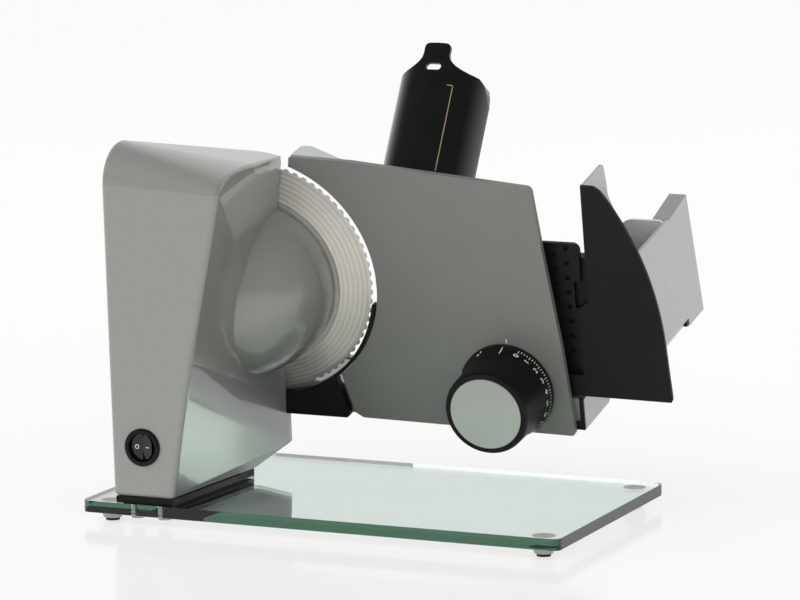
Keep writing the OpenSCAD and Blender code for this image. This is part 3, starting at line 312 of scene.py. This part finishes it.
@dataclass(frozen=True)
class BrushedSheet(Finish):
    """Stainless sheet brushed along one way, which draws its highlights out across the lines."""

    along: Axis = Axis.Y
    metal: float = 0.75

    def dress(self, tree: bpy.types.NodeTree, shader: bpy.types.Node) -> None:
        """Adds the brush lines to tone, roughness and relief."""
        shader.inputs["Metallic"].default_value = self.metal
        # Brush lines of 0.05 mm are drawn 0.3 mm apart so that they show
        lines = self.grain(tree, 0.3, 1.0, self.along.value)
        self.tint(tree, shader, lines)
        self.vary(tree, shader, lines, 0.04)
        self.relief(tree, shader, lines, 0.003, 0.02)


@dataclass(frozen=True)
class GroundBlade(Finish):
    """Hardened stainless steel, ground on a turning table: fine rings and a bright warm lustre."""

    ring_mm: float = math.pi
    wave_factor: float = 20.0

    def dress(self, tree: bpy.types.NodeTree, shader: bpy.types.Node) -> None:
        """Adds rings about the blade's axis and a soft smear of polishing."""
        # Ground steel scatters light in every direction, so a share of it is given as plain reflection
        shader.inputs["Metallic"].default_value = 0.6
        centre = add_node(
            tree,
            "ShaderNodeMapping",
            settings={"vector_type": "TEXTURE"},
            values={
                "Location": UNIT.origin,
                "Rotation": (math.radians(UNIT.lean_deg + 90), 0, 0),
            },
            links={"Vector": self.places(tree)},
        )
        # Grinding marks of 0.1 mm are drawn 3.1 mm apart so that they show. The phase of the wave
        # grows by the node's scale times wave_factor on each metre
        rings = add_node(
            tree,
            "ShaderNodeTexWave",
            settings={"wave_type": "RINGS", "rings_direction": "Z"},
            values={
                "Scale": math.tau / (self.ring_mm * MM) / self.wave_factor,
                "Distortion": 1.2,
                "Detail": 3.0,
                "Detail Scale": 2.0,
            },
            links={"Vector": centre.outputs["Vector"]},
        )
        smear = self.grain(tree, 22.0, 2.0)
        both = add_node(
            tree,
            "ShaderNodeMix",
            settings={"data_type": "FLOAT"},
            values={0: 0.55},
            links={2: rings.outputs["Fac"], 3: smear},
        )
        self.tint(tree, shader, both.outputs[0], (0.25, 0.75))
        self.vary(tree, shader, both.outputs[0], 0.06)
        self.relief(tree, shader, rings.outputs["Fac"], 0.008, 0.10)


@dataclass(frozen=True)
class MouldedPlastic(Finish):
    """ABS moulded in a spark-eroded tool: a fine even grain that breaks up the shine."""

    grain_mm: float = 0.8

    def dress(self, tree: bpy.types.NodeTree, shader: bpy.types.Node) -> None:
        """Adds the eroded grain to tone, roughness and relief."""
        shader.inputs["IOR"].default_value = 1.53
        shader.inputs["Specular IOR Level"].default_value = 0.25
        # The tool's grain of 0.2 mm is drawn coarser so that it shows
        pits = self.grain(tree, self.grain_mm, 3.0)
        self.tint(tree, shader, pits)
        self.vary(tree, shader, pits, 0.06)
        self.relief(tree, shader, pits, 0.03, 0.18)


@dataclass(frozen=True)
class GlossPlastic(Finish):
    """ABS moulded in a polished tool: a deep black gloss with a very slight flow ripple."""

    def dress(self, tree: bpy.types.NodeTree, shader: bpy.types.Node) -> None:
        """Adds the flow ripple."""
        shader.inputs["IOR"].default_value = 1.53
        ripple = self.grain(tree, 18.0, 1.0)
        self.tint(tree, shader, ripple)
        self.relief(tree, shader, ripple, 0.05, 0.06)


@dataclass(frozen=True)
class FloatGlass(Finish):
    """Toughened float glass with polished edges and a mirror coat under it.

    The face throws back a slightly dimmed image of what stands on it. Iron in the glass takes out red
    over a long way, so the tint lies in the volume and shows green at the edges.
    """

    tint_colour: str = "#7FBFA6"
    tint_density: float = 15.0
    coat_colour: str = "#F0F1F0"
    coat_roughness: float = 0.01
    underside_mm: float = 7.0
    slack_mm: float = 0.05

    def dress(self, tree: bpy.types.NodeTree, shader: bpy.types.Node) -> None:
        """Adds clear transmission, the volume's tint, the coat and the faint wave of toughening."""
        shader.inputs["Transmission Weight"].default_value = 1.0
        shader.inputs["IOR"].default_value = 1.52
        wave = self.grain(tree, 45.0, 0.0)
        self.tint(tree, shader, wave)
        self.relief(tree, shader, wave, 0.02, 0.02)
        output = tree.nodes["Material Output"]
        volume = add_node(
            tree,
            "ShaderNodeVolumeAbsorption",
            values={"Color": linear(self.tint_colour), "Density": self.tint_density},
        )
        tree.links.new(volume.outputs["Volume"], output.inputs["Volume"])
        height = add_node(tree, "ShaderNodeSeparateXYZ", links={0: self.places(tree)}).outputs["Z"]
        under = add_node(
            tree,
            "ShaderNodeMath",
            settings={"operation": "LESS_THAN"},
            values={1: (self.underside_mm + self.slack_mm) * MM},
            links={0: height},
        )
        coat = add_node(
            tree,
            "ShaderNodeBsdfAnisotropic",
            values={"Color": linear(self.coat_colour), "Roughness": self.coat_roughness},
        )
        both = add_node(
            tree,
            "ShaderNodeMixShader",
            links={0: under.outputs[0], 1: shader.outputs["BSDF"], 2: coat.outputs["BSDF"]},
        )
        tree.links.new(both.outputs["Shader"], output.inputs["Surface"])


@dataclass(frozen=True)
class PlatedSteel(Finish):
    """Turned or pressed steel with a bright zinc plate: clean metal with fine tool marks."""

    metal: float = 1.0
    mark_mm: float = 0.6

    def dress(self, tree: bpy.types.NodeTree, shader: bpy.types.Node) -> None:
        """Adds the tool marks."""
        shader.inputs["Metallic"].default_value = self.metal
        marks = self.grain(tree, self.mark_mm, 3.0)
        self.tint(tree, shader, marks)
        self.vary(tree, shader, marks, 0.08)
        self.relief(tree, shader, marks, 0.015, 0.12)


@dataclass(frozen=True)
class CastAlloy(Finish):
    """Pressure die-cast aluminium, left as cast: a dull cloudy skin with flow marks and fine pits."""

    def dress(self, tree: bpy.types.NodeTree, shader: bpy.types.Node) -> None:
        """Adds flow marks and pits."""
        shader.inputs["Metallic"].default_value = 0.85
        flow = self.grain(tree, 14.0, 4.0)
        pits = self.grain(tree, 0.8, 2.0)
        self.tint(tree, shader, flow)
        self.vary(tree, shader, flow, 0.08)
        self.relief(tree, shader, pits, 0.05, 0.25)


@dataclass(frozen=True)
class DullMoulding(Finish):
    """Nylon, rubber, pressed carbon or bronze powder: matt, with a grain of the given size."""

    grain_mm: float = 1.0
    metal: float = 0.0

    def dress(self, tree: bpy.types.NodeTree, shader: bpy.types.Node) -> None:
        """Adds the grain."""
        shader.inputs["Metallic"].default_value = self.metal
        pits = self.grain(tree, self.grain_mm, 3.0)
        self.tint(tree, shader, pits)
        self.relief(tree, shader, pits, 0.04, 0.2)


@dataclass(frozen=True)
class PadInk(Finish):
    """White pad-printed ink: thin and matt, a little broken where the plastic's grain shows through."""

    def dress(self, tree: bpy.types.NodeTree, shader: bpy.types.Node) -> None:
        """Adds the broken cover of the print."""
        self.tint(tree, shader, self.grain(tree, 0.5, 2.0), (0.3, 0.5))


HOUSING = SilverEnamel("silver_grey_enamel", 0.32, "#8B8E88", "#91948E")
STOP_SHEET = AnodisedSheet("anodised_stop_sheet", 0.42, "#797C76", "#7F827C", 0.35)
# The ear is the stop plate's own anodised sheet in a much lighter tone; the extra brightness is painted light
EAR_SHEET_PAINTED_LIGHT = AnodisedSheet("anodised_stop_ear_painted_light", 0.40, "#C3C8C5", "#C9CECB", 0.35)
ARM_ALLOY = AnodisedSheet("anodised_arm_extrusion", 0.36, "#A9ACAB", "#B6B9B8")
CAP_ALLOY = AnodisedSheet("anodised_dial_cap", 0.38, "#ADB0AA", "#B3B6B0")
CARRIAGE_SHEET = BrushedSheet("brushed_carriage_sheet", 0.30, "#A9ADAC", "#B3B7B6")
# The cross wall is the carriage's brushed sheet made much paler and less metallic: painted light against the shade it
# stands in
WEB_SHEET_PAINTED_LIGHT = BrushedSheet("brushed_cross_wall_painted_light", 0.42, "#D9DBDA", "#DFE1E0", Axis.X, 0.1)
BLADE_STEEL = GroundBlade("ground_blade_steel", 0.38, "#C5C0B8", "#E4E0D9")
HUB_ALLOY = PlatedSteel("turned_hub_alloy", 0.28, "#B5B0A2", "#C6C2B6")
BLACK_ABS = MouldedPlastic("black_grained_abs", 0.5, "#0C0C0C", "#111111")
COVER_PAINT = MouldedPlastic("black_painted_cover", 0.4, "#565656", "#5F5F5F")
GLOSS_ABS = GlossPlastic("black_gloss_abs", 0.06, "#0A0A0A", "#0E0E0E")
GLASS = FloatGlass("toughened_float_glass", 0.0, "#EEF5F1", "#F3F8F5")
SCREW_ZINC = PlatedSteel("zinc_plated_steel", 0.30, "#9C9D9A", "#B6B7B4")
MOTOR_SHEET = PlatedSteel("pressed_motor_sheet", 0.38, "#818385", "#979A9B")
FOOT_METAL = PlatedSteel("satin_foot_alloy", 0.28, "#95958F", "#B2B2AD")
CAST = CastAlloy("die_cast_alloy", 0.45, "#8C8D8E", "#A3A4A4")
BRONZE = DullMoulding("sintered_bronze", 0.45, "#A37F47", "#BC9557", 0.6, 0.9)
NYLON = DullMoulding("natural_nylon", 0.45, "#C9C3B0", "#D6D0BE")
RUBBER = DullMoulding("black_rubber", 0.75, "#151515", "#1F1F1F", 0.9)
CARBON = DullMoulding("pressed_carbon", 0.55, "#232325", "#343436", 0.5)
INK = PadInk("white_pad_ink", 0.6, "#B9BAB6", "#E9EAE6")
# A raised seam on the black gloss hood, coloured tan as a painted highlight where light catches its edge
SEAM_PAINTED_HIGHLIGHT = PadInk("moulding_seam_painted_highlight", 0.35, "#6E604C", "#A08E74")

SLOT_FINISH: dict[str, Finish] = {
    "glass": GLASS,
    "foot_metal": FOOT_METAL,
    "rubber": RUBBER,
    "screw_steel": SCREW_ZINC,
    "housing": HOUSING,
    "black_plastic": BLACK_ABS,
    "gloss_black": GLOSS_ABS,
    "cast_alloy": CAST,
    "cover_metal": COVER_PAINT,
    "blade_steel": BLADE_STEEL,
    "hub_alloy": HUB_ALLOY,
    "bronze": BRONZE,
    "gear_plastic": NYLON,
    "motor_steel": MOTOR_SHEET,
    "carbon": CARBON,
    "arm_alloy": ARM_ALLOY,
    "plate_alloy": STOP_SHEET,
    "cap_alloy": CAP_ALLOY,
    "carriage_steel": CARRIAGE_SHEET,
}


# Mesh helpers


def finish_piece(name: str, mesh: bmesh.types.BMesh, body: str, coat: Finish) -> bpy.types.Object:
    """Turns a finished bmesh into a piece that rides on a body.

    Args:
        name: name of the piece.
        mesh: its shape, already in place in metres.
        body: the CAD body that it moves with.
        coat: its finish.

    Returns:
        The new object.
    """
    bmesh.ops.remove_doubles(mesh, verts=mesh.verts, dist=1e-6)
    bmesh.ops.recalc_face_normals(mesh, faces=mesh.faces)
    data = bpy.data.meshes.new(name)
    mesh.to_mesh(data)
    mesh.free()
    piece = bpy.data.objects.new(name, data)
    bpy.context.scene.collection.objects.link(piece)
    data.materials.append(coat.material())
    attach(piece, body)
    LOG.info("made %s on %s: %d faces", name, body, len(data.polygons))
    return piece


def add_bar(mesh: bmesh.types.BMesh, place: Matrix, size_mm: tuple[float, float, float]) -> None:
    """Adds a printed bar with softened corners.

    Args:
        mesh: the mesh to add to.
        place: frame of the bar's middle.
        size_mm: its length, width and thickness.
    """
    made = bmesh.ops.create_cube(mesh, size=1.0, matrix=place @ Matrix.Diagonal((*[s * MM for s in size_mm], 1.0)))
    edges = {edge for vert in made["verts"] for edge in vert.link_edges}
    bmesh.ops.bevel(
        mesh,
        geom=list(edges),
        offset=min(size_mm) * MM * 0.2,
        offset_type="OFFSET",
        affect="EDGES",
        segments=1,
        profile=0.5,
        material=-1,
    )


def add_ring(mesh: bmesh.types.BMesh, place: Matrix, radius_mm: float, width_mm: float, height_mm: float) -> None:
    """Adds a flat printed ring.

    Args:
        mesh: the mesh to add to.
        place: frame of the ring's middle, with Z out of the surface.
        radius_mm: radius of the ring's middle line.
        width_mm: width of the line.
        height_mm: thickness of the print.
    """
    outer = bmesh.ops.create_circle(
        mesh, cap_ends=True, radius=(radius_mm + width_mm / 2) * MM, segments=32, matrix=place
    )
    faces = list({face for vert in outer["verts"] for face in vert.link_faces})
    inner = bmesh.ops.inset_region(mesh, faces=faces, thickness=width_mm * MM, use_boundary=True, use_even_offset=True)
    bmesh.ops.delete(mesh, geom=faces, context="FACES_ONLY")
    raised = bmesh.ops.extrude_face_region(mesh, geom=inner["faces"])
    top = [part for part in raised["geom"] if isinstance(part, bmesh.types.BMVert)]
    bmesh.ops.translate(mesh, verts=top, vec=place.to_3x3() @ Vector((0, 0, height_mm * MM)))


def add_figure(mesh: bmesh.types.BMesh, words: str, place: Matrix, height_mm: float, depth_mm: float) -> None:
    """Adds printed figures as a thin mesh.

    Args:
        mesh: the mesh to add to.
        words: the figures.
        place: frame of their middle, with X to the right, Y up and Z out of the surface.
        height_mm: height of a figure.
        depth_mm: thickness of the print.
    """
    curve = bpy.data.curves.new("figure", "FONT")
    curve.body = words
    curve.align_x = "CENTER"
    curve.align_y = "CENTER"
    curve.size = height_mm * MM / 0.7
    curve.extrude = depth_mm * MM / 2
    curve.resolution_u = 4
    holder = bpy.data.objects.new("figure", curve)
    bpy.context.scene.collection.objects.link(holder)
    bpy.context.view_layer.update()
    flat = bpy.data.meshes.new_from_object(holder)
    flat.transform(place)
    mesh.from_mesh(flat)
    bpy.data.objects.remove(holder)
    bpy.data.curves.remove(curve)
    bpy.data.meshes.remove(flat)


# Sub-assemblies


@dataclass
class SubAssembly:
    """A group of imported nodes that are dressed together."""

    label: str
    nodes: tuple[str, ...]
    special: dict[str, Finish] = field(default_factory=dict)

    def dress(self) -> None:
        """Gives each node its finish, by the record's slot unless the group names another."""
        slot_of = {part["node"]: part["material_slot"] for part in frame["record"]["subparts"]}
        for name in self.nodes:
            coat = self.special.get(name) or SLOT_FINISH[slot_of[name]]
            node = frame["nodes"][name]
            if not node.material_slots:
                node.data.materials.append(coat.material())
            for slot in node.material_slots:
                slot.material = coat.material()
            LOG.info("%s: %s wears %s", self.label, name, coat.name)

    def build(self) -> None:
        """Dresses the group and makes its own pieces."""
        self.dress()


@dataclass
class Tower(SubAssembly):
    """The housing with its switch."""

    switch_at: tuple[float, float, float] = (-0.128, -0.104, 0.0546)
    print_t: float = 0.06
    ring_at: tuple[float, float, float] = (-4.9, -1.57, -2.4)
    ring_r: float = 1.3
    ring_w: float = 0.5
    dash_at: tuple[float, float, float] = (3.6, -0.16, 20.4)
    dash_l: float = 2.8
    dash_w: float = 0.55

    def on_rocker(self, x: float, out: float, slope_deg: float) -> Matrix:
        """Gives a frame on the rocker's face.

        Args:
            x: place across the switch, in mm.
            out: height out of the housing's front, in mm.
            slope_deg: how far the face rises to the right.

        Returns:
            A matrix with Z out of the face.
        """
        upright = Matrix.Translation(self.switch_at) @ Matrix.Rotation(math.radians(90), 4, "X")
        return (
            upright
            @ Matrix.Translation(Vector((x, 0, out)) * MM)
            @ Matrix.Rotation(-math.radians(slope_deg), 4, "Y")
        )

    def build(self) -> None:
        """Dresses the tower and prints the switch's two marks."""
        self.dress()
        marks = bmesh.new()
        add_ring(marks, self.on_rocker(*self.ring_at), self.ring_r, self.ring_w, self.print_t)
        add_bar(marks, self.on_rocker(*self.dash_at), (self.dash_l, self.dash_w, self.print_t * 2))
        finish_piece("switch_marks", marks, "rocker", INK)


@dataclass
class Dial(SubAssembly):
    """The thickness dial with its printed scale."""

    centre: tuple[float, float, float] = (181.0, -5.3, -73.0)
    skirt: tuple[tuple[float, float], ...] = ((34.0, 0.0), (34.0, 4.0), (32.0, 12.0), (30.8, 20.0))
    zero_deg: float = 67.5
    step_deg: float = 15.0
    count: int = 19
    parts: int = 4
    tick_from: float = 4.1
    tick_long: float = 2.6
    tick_short: float = 1.5
    tick_w: float = 0.42
    figure_at: float = 9.3
    figure_h: float = 3.9
    print_t: float = 0.08
    index_at: tuple[float, float] = (88.0, 8.2)
    index_l: float = 7.2
    index_w: float = 0.55
    stop_at: tuple[float, float] = (116.0, 6.8)
    stop_l: float = 2.6
    stop_w: float = 0.45
    stop_ring_at: tuple[float, float] = (119.0, 9.4)
    stop_ring_r: float = 0.8
    stop_ring_w: float = 0.5

    def on_skirt(self, angle_deg: float, out: float) -> Matrix:
        """Gives a frame on the dial's skirt.

        Args:
            angle_deg: place round the dial, from the right-hand side up.
            out: height over the dial's back, in mm.

        Returns:
            A matrix with X towards the back, Y round the dial and Z out of the surface.
        """
        span = [pair for pair in zip(self.skirt, self.skirt[1:]) if pair[0][1] <= out <= pair[1][1]][-1]
        (r0, h0), (r1, h1) = span
        radius = r0 + (r1 - r0) * (out - h0) / (h1 - h0)
        slope = math.atan2(r0 - r1, h1 - h0)
        return (
            UNIT.facing(*self.centre)
            @ Matrix.Rotation(math.radians(angle_deg), 4, "Z")
            @ Matrix.Translation(Vector((radius, 0, out)) * MM)
            @ Matrix.Rotation(math.radians(90) - slope, 4, "Y")
        )

    def build(self) -> None:
        """Dresses the dial and prints ticks and figures."""
        self.dress()
        scale = bmesh.new()
        height = self.print_t * 2
        for step in range((self.count - 1) * self.parts + 1):
            angle = self.zero_deg - step * self.step_deg / self.parts
            length = self.tick_short if step % self.parts else self.tick_long
            add_bar(scale, self.on_skirt(angle, self.tick_from + length / 2), (length, self.tick_w, height))
        for number in range(self.count):
            angle = self.zero_deg - number * self.step_deg
            add_figure(scale, str(number), self.on_skirt(angle, self.figure_at), self.figure_h, height)
        add_bar(scale, self.on_skirt(*self.index_at), (self.index_l, self.index_w, height))
        add_bar(scale, self.on_skirt(*self.stop_at), (self.stop_l, self.stop_w, height))
        add_ring(scale, self.on_skirt(*self.stop_ring_at), self.stop_ring_r, self.stop_ring_w, self.print_t)
        finish_piece("dial_scale", scale, "knob", INK)


@dataclass
class StopPlate(SubAssembly):
    """The stop plate with the index line that the dial's scale is read against."""

    index_at: tuple[float, float, float] = (183.15, -5.0, -36.7)
    index_mm: tuple[float, float, float] = (0.7, 3.0, 0.12)

    def build(self) -> None:
        """Dresses the plate and prints the index line."""
        self.dress()
        line = bmesh.new()
        add_bar(line, UNIT.facing(*self.index_at), self.index_mm)
        finish_piece("stop_index", line, "stop_unit", INK)


@dataclass
class RemnantHolder(SubAssembly):
    """The remnant holder with the fine moulding seam on its hood, coloured tan as a painted highlight."""

    hood_at: tuple[float, float, float] = (118.4, 70.8, 95.0)
    hood_r: float = 33.5
    hood_lean: float = 44.0
    seam_angle: float = 28.0
    seam_from: float = -51.0
    seam_to: float = 13.0
    seam_r: float = 0.32
    hook_turn: float = 3.4
    hook_l: float = 4.2

    def on_hood(self, angle_deg: float, along: float) -> Matrix:
        """Gives a frame on the hood's outside.

        Args:
            angle_deg: place round the hood, from its crest to the right.
            along: place along the hood's axis, in mm.

        Returns:
            A matrix with Y along the hood and Z out of it.
        """
        lean = Matrix.Rotation(math.radians(-self.hood_lean), 4, "X")
        return (
            UNIT.facing(*self.hood_at)
            @ lean
            @ Matrix.Rotation(math.radians(angle_deg), 4, "Y")
            @ Matrix.Translation(Vector((0, along, self.hood_r)) * MM)
        )

    def build(self) -> None:
        """Dresses the holder and lays the seam as a raised bead whose tan colour is a painted highlight."""
        self.dress()
        seam = bmesh.new()
        ends = (self.seam_from, self.seam_to)
        middle = self.on_hood(self.seam_angle, sum(ends) / 2)
        add_bar(seam, middle, (self.seam_r * 2, ends[1] - ends[0], self.seam_r))
        hook = self.on_hood(self.seam_angle - self.hook_turn, self.seam_to)
        add_bar(seam, hook, (self.hook_l, self.seam_r * 2, self.seam_r))
        # The seam's tan colour is a painted highlight
        finish_piece("hood_seam_painted_highlight", seam, "holder", SEAM_PAINTED_HIGHLIGHT)


# Studio


@dataclass
class Studio:
    """A plain pale floor, soft light and a camera at the photograph's angle.

    Lamps are given by name, strength, and where the light comes from.
    """

    camera_at: tuple[float, float, float] = (1.15485, -2.74005, 0.59953)
    camera_turn: tuple[float, float, float] = (81.38, 0.0, 22.53)
    lens_mm: float = 197.07
    floor_half: float = 14.0
    floor_hex: str = "#F4F5F4"
    floor_white: float = 0.65
    floor_roughness: float = 0.12
    white_hex: str = "#FCFCFB"
    bright_side: tuple[float, float, float] = (-0.62, -0.78, 0.1)
    fill_low: float = 0.1
    fill_high: float = 1.25
    image_side: tuple[float, float, float] = (0.0, 0.894, -0.447)
    image_span: tuple[float, float] = (-0.25, 0.7)
    room: float = 0.14
    suns: tuple[tuple[str, float, float, tuple[float, float, float]], ...] = (
        ("key_light", 0.75, 60.0, (62.0, 0.0, -42.0)),
        ("low_light", 0.85, 70.0, (80.0, 0.0, 40.0)),
    )
    boxes: tuple[tuple[str, float, tuple[float, float, float]], ...] = (
        ("right_box", 24.0, (1.9, 2.2, 1.15)),
        ("left_box", 10.0, (-2.6, 0.8, 1.15)),
    )
    box_size: float = 1.2
    box_aim: tuple[float, float, float] = (0.0, 0.0, 0.2)

    def build(self) -> None:
        """Makes the floor, the lamps, the world and the camera."""
        self.make_floor()
        self.make_world()
        self.make_lamps()
        self.make_camera()

    def make_floor(self) -> None:
        """Makes a wide floor of pale polished board that keeps a light shadow and a faint mirror image."""
        mesh = bmesh.new()
        bmesh.ops.create_grid(mesh, x_segments=8, y_segments=8, size=self.floor_half)
        data = bpy.data.meshes.new("studio_floor")
        mesh.to_mesh(data)
        mesh.free()
        floor = bpy.data.objects.new("studio_floor", data)
        bpy.context.scene.collection.objects.link(floor)
        paint = bpy.data.materials.new("studio_floor")
        paint.use_nodes = True
        tree = paint.node_tree
        shader = tree.nodes["Principled BSDF"]
        shader.inputs["Base Color"].default_value = linear(self.floor_hex)
        shader.inputs["Roughness"].default_value = self.floor_roughness
        # Only rays that look at the floor see its white, so that the white doesn't light the slicer
        paths = add_node(tree, "ShaderNodeLightPath").outputs
        shown = paths["Is Camera Ray"]
        for kind in ("Is Glossy Ray", "Is Transmission Ray"):
            shown = add_node(
                tree,
                "ShaderNodeMath",
                settings={"operation": "ADD", "use_clamp": True},
                links={0: shown, 1: paths[kind]},
            ).outputs[0]
        share = add_node(
            tree,
            "ShaderNodeMath",
            settings={"operation": "MULTIPLY"},
            values={1: self.floor_white},
            links={0: shown},
        )
        white = add_node(tree, "ShaderNodeEmission", values={"Color": linear(self.white_hex), "Strength": 1.0})
        both = add_node(
            tree,
            "ShaderNodeMixShader",
            links={0: share.outputs[0], 1: shader.outputs["BSDF"], 2: white.outputs["Emission"]},
        )
        tree.links.new(both.outputs["Shader"], tree.nodes["Material Output"].inputs["Surface"])
        data.materials.append(paint)

    def make_world(self) -> None:
        """Makes a white world that lights the front and left more than the right and the back.

        Mirror images see a dim room in front of the machine and overhead, and white behind it.
        """
        world = bpy.data.worlds.new("studio_world")
        bpy.context.scene.world = world
        world.use_nodes = True
        tree = world.node_tree
        background = tree.nodes["Background"]
        background.inputs["Color"].default_value = (1.0, 1.0, 1.0, 1.0)
        paths = add_node(tree, "ShaderNodeLightPath").outputs
        towards = add_node(tree, "ShaderNodeTexCoord").outputs["Generated"]
        side = self.slope(tree, towards, self.bright_side, (-1.0, 1.0), (self.fill_low, self.fill_high))
        image = self.slope(tree, towards, self.image_side, self.image_span, (self.room, 1.0))
        mirrored = self.choose(tree, paths["Is Glossy Ray"], side, image)
        through = self.choose(tree, paths["Is Transmission Ray"], mirrored, 1.0)
        seen = self.choose(tree, paths["Is Camera Ray"], through, 1.0)
        tree.links.new(seen, background.inputs["Strength"])

    def slope(
        self,
        tree: bpy.types.NodeTree,
        towards: bpy.types.NodeSocket,
        way: tuple[float, float, float],
        span: tuple[float, float],
        ends: tuple[float, float],
    ) -> bpy.types.NodeSocket:
        """Makes a strength that changes smoothly along one direction of the world.

        Args:
            tree: the world's node tree.
            towards: the direction looked in.
            way: the direction that it changes along.
            span: cosines at which the two ends are reached.
            ends: the strengths there.

        Returns:
            The strength.
        """
        along = add_node(
            tree, "ShaderNodeVectorMath", settings={"operation": "DOT_PRODUCT"}, values={1: way}, links={0: towards}
        )
        eased = add_node(
            tree,
            "ShaderNodeMapRange",
            settings={"interpolation_type": "SMOOTHSTEP"},
            values={"From Min": span[0], "From Max": span[1], "To Min": ends[0], "To Max": ends[1]},
            links={"Value": along.outputs["Value"]},
        )
        return eased.outputs["Result"]

    def choose(
        self,
        tree: bpy.types.NodeTree,
        test: bpy.types.NodeSocket,
        without: bpy.types.NodeSocket,
        with_it: bpy.types.NodeSocket | float,
    ) -> bpy.types.NodeSocket:
        """Picks one of two strengths by a kind of ray.

        Args:
            tree: the world's node tree.
            test: the light path's output for that kind of ray.
            without: strength for other rays.
            with_it: strength for that kind.

        Returns:
            The strength.
        """
        mixed = add_node(tree, "ShaderNodeMix", settings={"data_type": "FLOAT"}, links={0: test, 2: without})
        if isinstance(with_it, float):
            mixed.inputs[3].default_value = with_it
        else:
            tree.links.new(with_it, mixed.inputs[3])
        return mixed.outputs[0]

    def make_lamps(self) -> None:
        """Adds a broad key from the left, a low fill from the right and two soft boxes behind."""
        for name, strength, spread_deg, turn_deg in self.suns:
            lamp = bpy.data.lights.new(name, "SUN")
            lamp.energy = strength
            lamp.angle = math.radians(spread_deg)
            self.hang(lamp).rotation_euler = [math.radians(a) for a in turn_deg]
        for name, power, place in self.boxes:
            lamp = bpy.data.lights.new(name, "AREA")
            lamp.energy = power
            lamp.size = self.box_size
            holder = self.hang(lamp)
            holder.location = place
            aim = Vector(self.box_aim) - Vector(place)
            holder.rotation_euler = aim.to_track_quat("-Z", "Y").to_euler()

    def hang(self, lamp: bpy.types.Light) -> bpy.types.Object:
        """Puts a lamp in the scene, hidden from mirror images, and returns its object."""
        holder = bpy.data.objects.new(lamp.name, lamp)
        holder.visible_glossy = False
        bpy.context.scene.collection.objects.link(holder)
        return holder

    def make_camera(self) -> None:
        """Puts the camera where the photograph was taken from."""
        lens = bpy.data.cameras.new("photo_camera")
        lens.lens = self.lens_mm
        lens.sensor_width = 36.0
        lens.clip_end = 100.0
        camera = bpy.data.objects.new("photo_camera", lens)
        camera.location = self.camera_at
        camera.rotation_euler = [math.radians(a) for a in self.camera_turn]
        bpy.context.scene.collection.objects.link(camera)
        bpy.context.scene.camera = camera


def main() -> None:
    """Builds every sub-assembly and the studio in order."""
    logging.basicConfig(level=logging.INFO, format="%(name)s %(message)s")
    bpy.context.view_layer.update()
    groups: list[SubAssembly] = [
        SubAssembly("glass base", ("glass_plate", "foot_cups", "foot_pads", "plinth_washers", "plinth_screws")),
        Tower(
            "tower",
            ("plinth", "tower_shell", "switch_bezel", "switch_rocker", "cord_gland", "gland_nut"),
        ),
        SubAssembly(
            "drive",
            (
                "gear_frame",
                "frame_screws",
                "gear_cover",
                "cover_screws",
                "motor_can",
                "motor_end_bell",
                "motor_brushes",
                "armature",
                "motor_pinion",
                "motor_screws",
                "drive_gear",
            ),
        ),
        SubAssembly(
            "blade",
            (
                "blade_guard",
                "blade",
                "blade_screws",
                "blade_hub",
                "hub_bushes",
                "blade_axle",
                "blade_cover",
                "cover_bolt",
            ),
        ),
        SubAssembly(
            "arm",
            ("arm_beam", "arm_end_plate", "arm_cap", "arm_trim", "arm_screws", "stop_bushes", "spindle_nut"),
        ),
        StopPlate(
            "stop plate",
            ("stop_plate", "stop_ear", "stop_guides", "knob_post", "knob_screw", "spindle", "spindle_gear"),
            # The ear wears the lighter copy of the plate's sheet, which is painted light
            {"stop_ear": EAR_SHEET_PAINTED_LIGHT},
        ),
        Dial("dial", ("knob_body", "knob_gear", "knob_cap")),
        SubAssembly(
            "carriage",
            (
                "carriage_floor",
                "slider_shoes",
                "carriage_screws",
                "push_wall",
                "thumb_guard",
                "outer_wall",
                "grip_frame",
                "carriage_catch",
            ),
            # The cross wall wears the paler copy of the carriage sheet, which is painted light
            {"grip_frame": WEB_SHEET_PAINTED_LIGHT},
        ),
        RemnantHolder("remnant holder", ("holder_plate", "holder_spikes", "holder_lug", "holder_hood")),
    ]
    for group in groups:
        group.build()
    Studio().build()
    bpy.context.scene.view_settings.view_transform = "Standard"


if __name__ == "__main__":
    main()
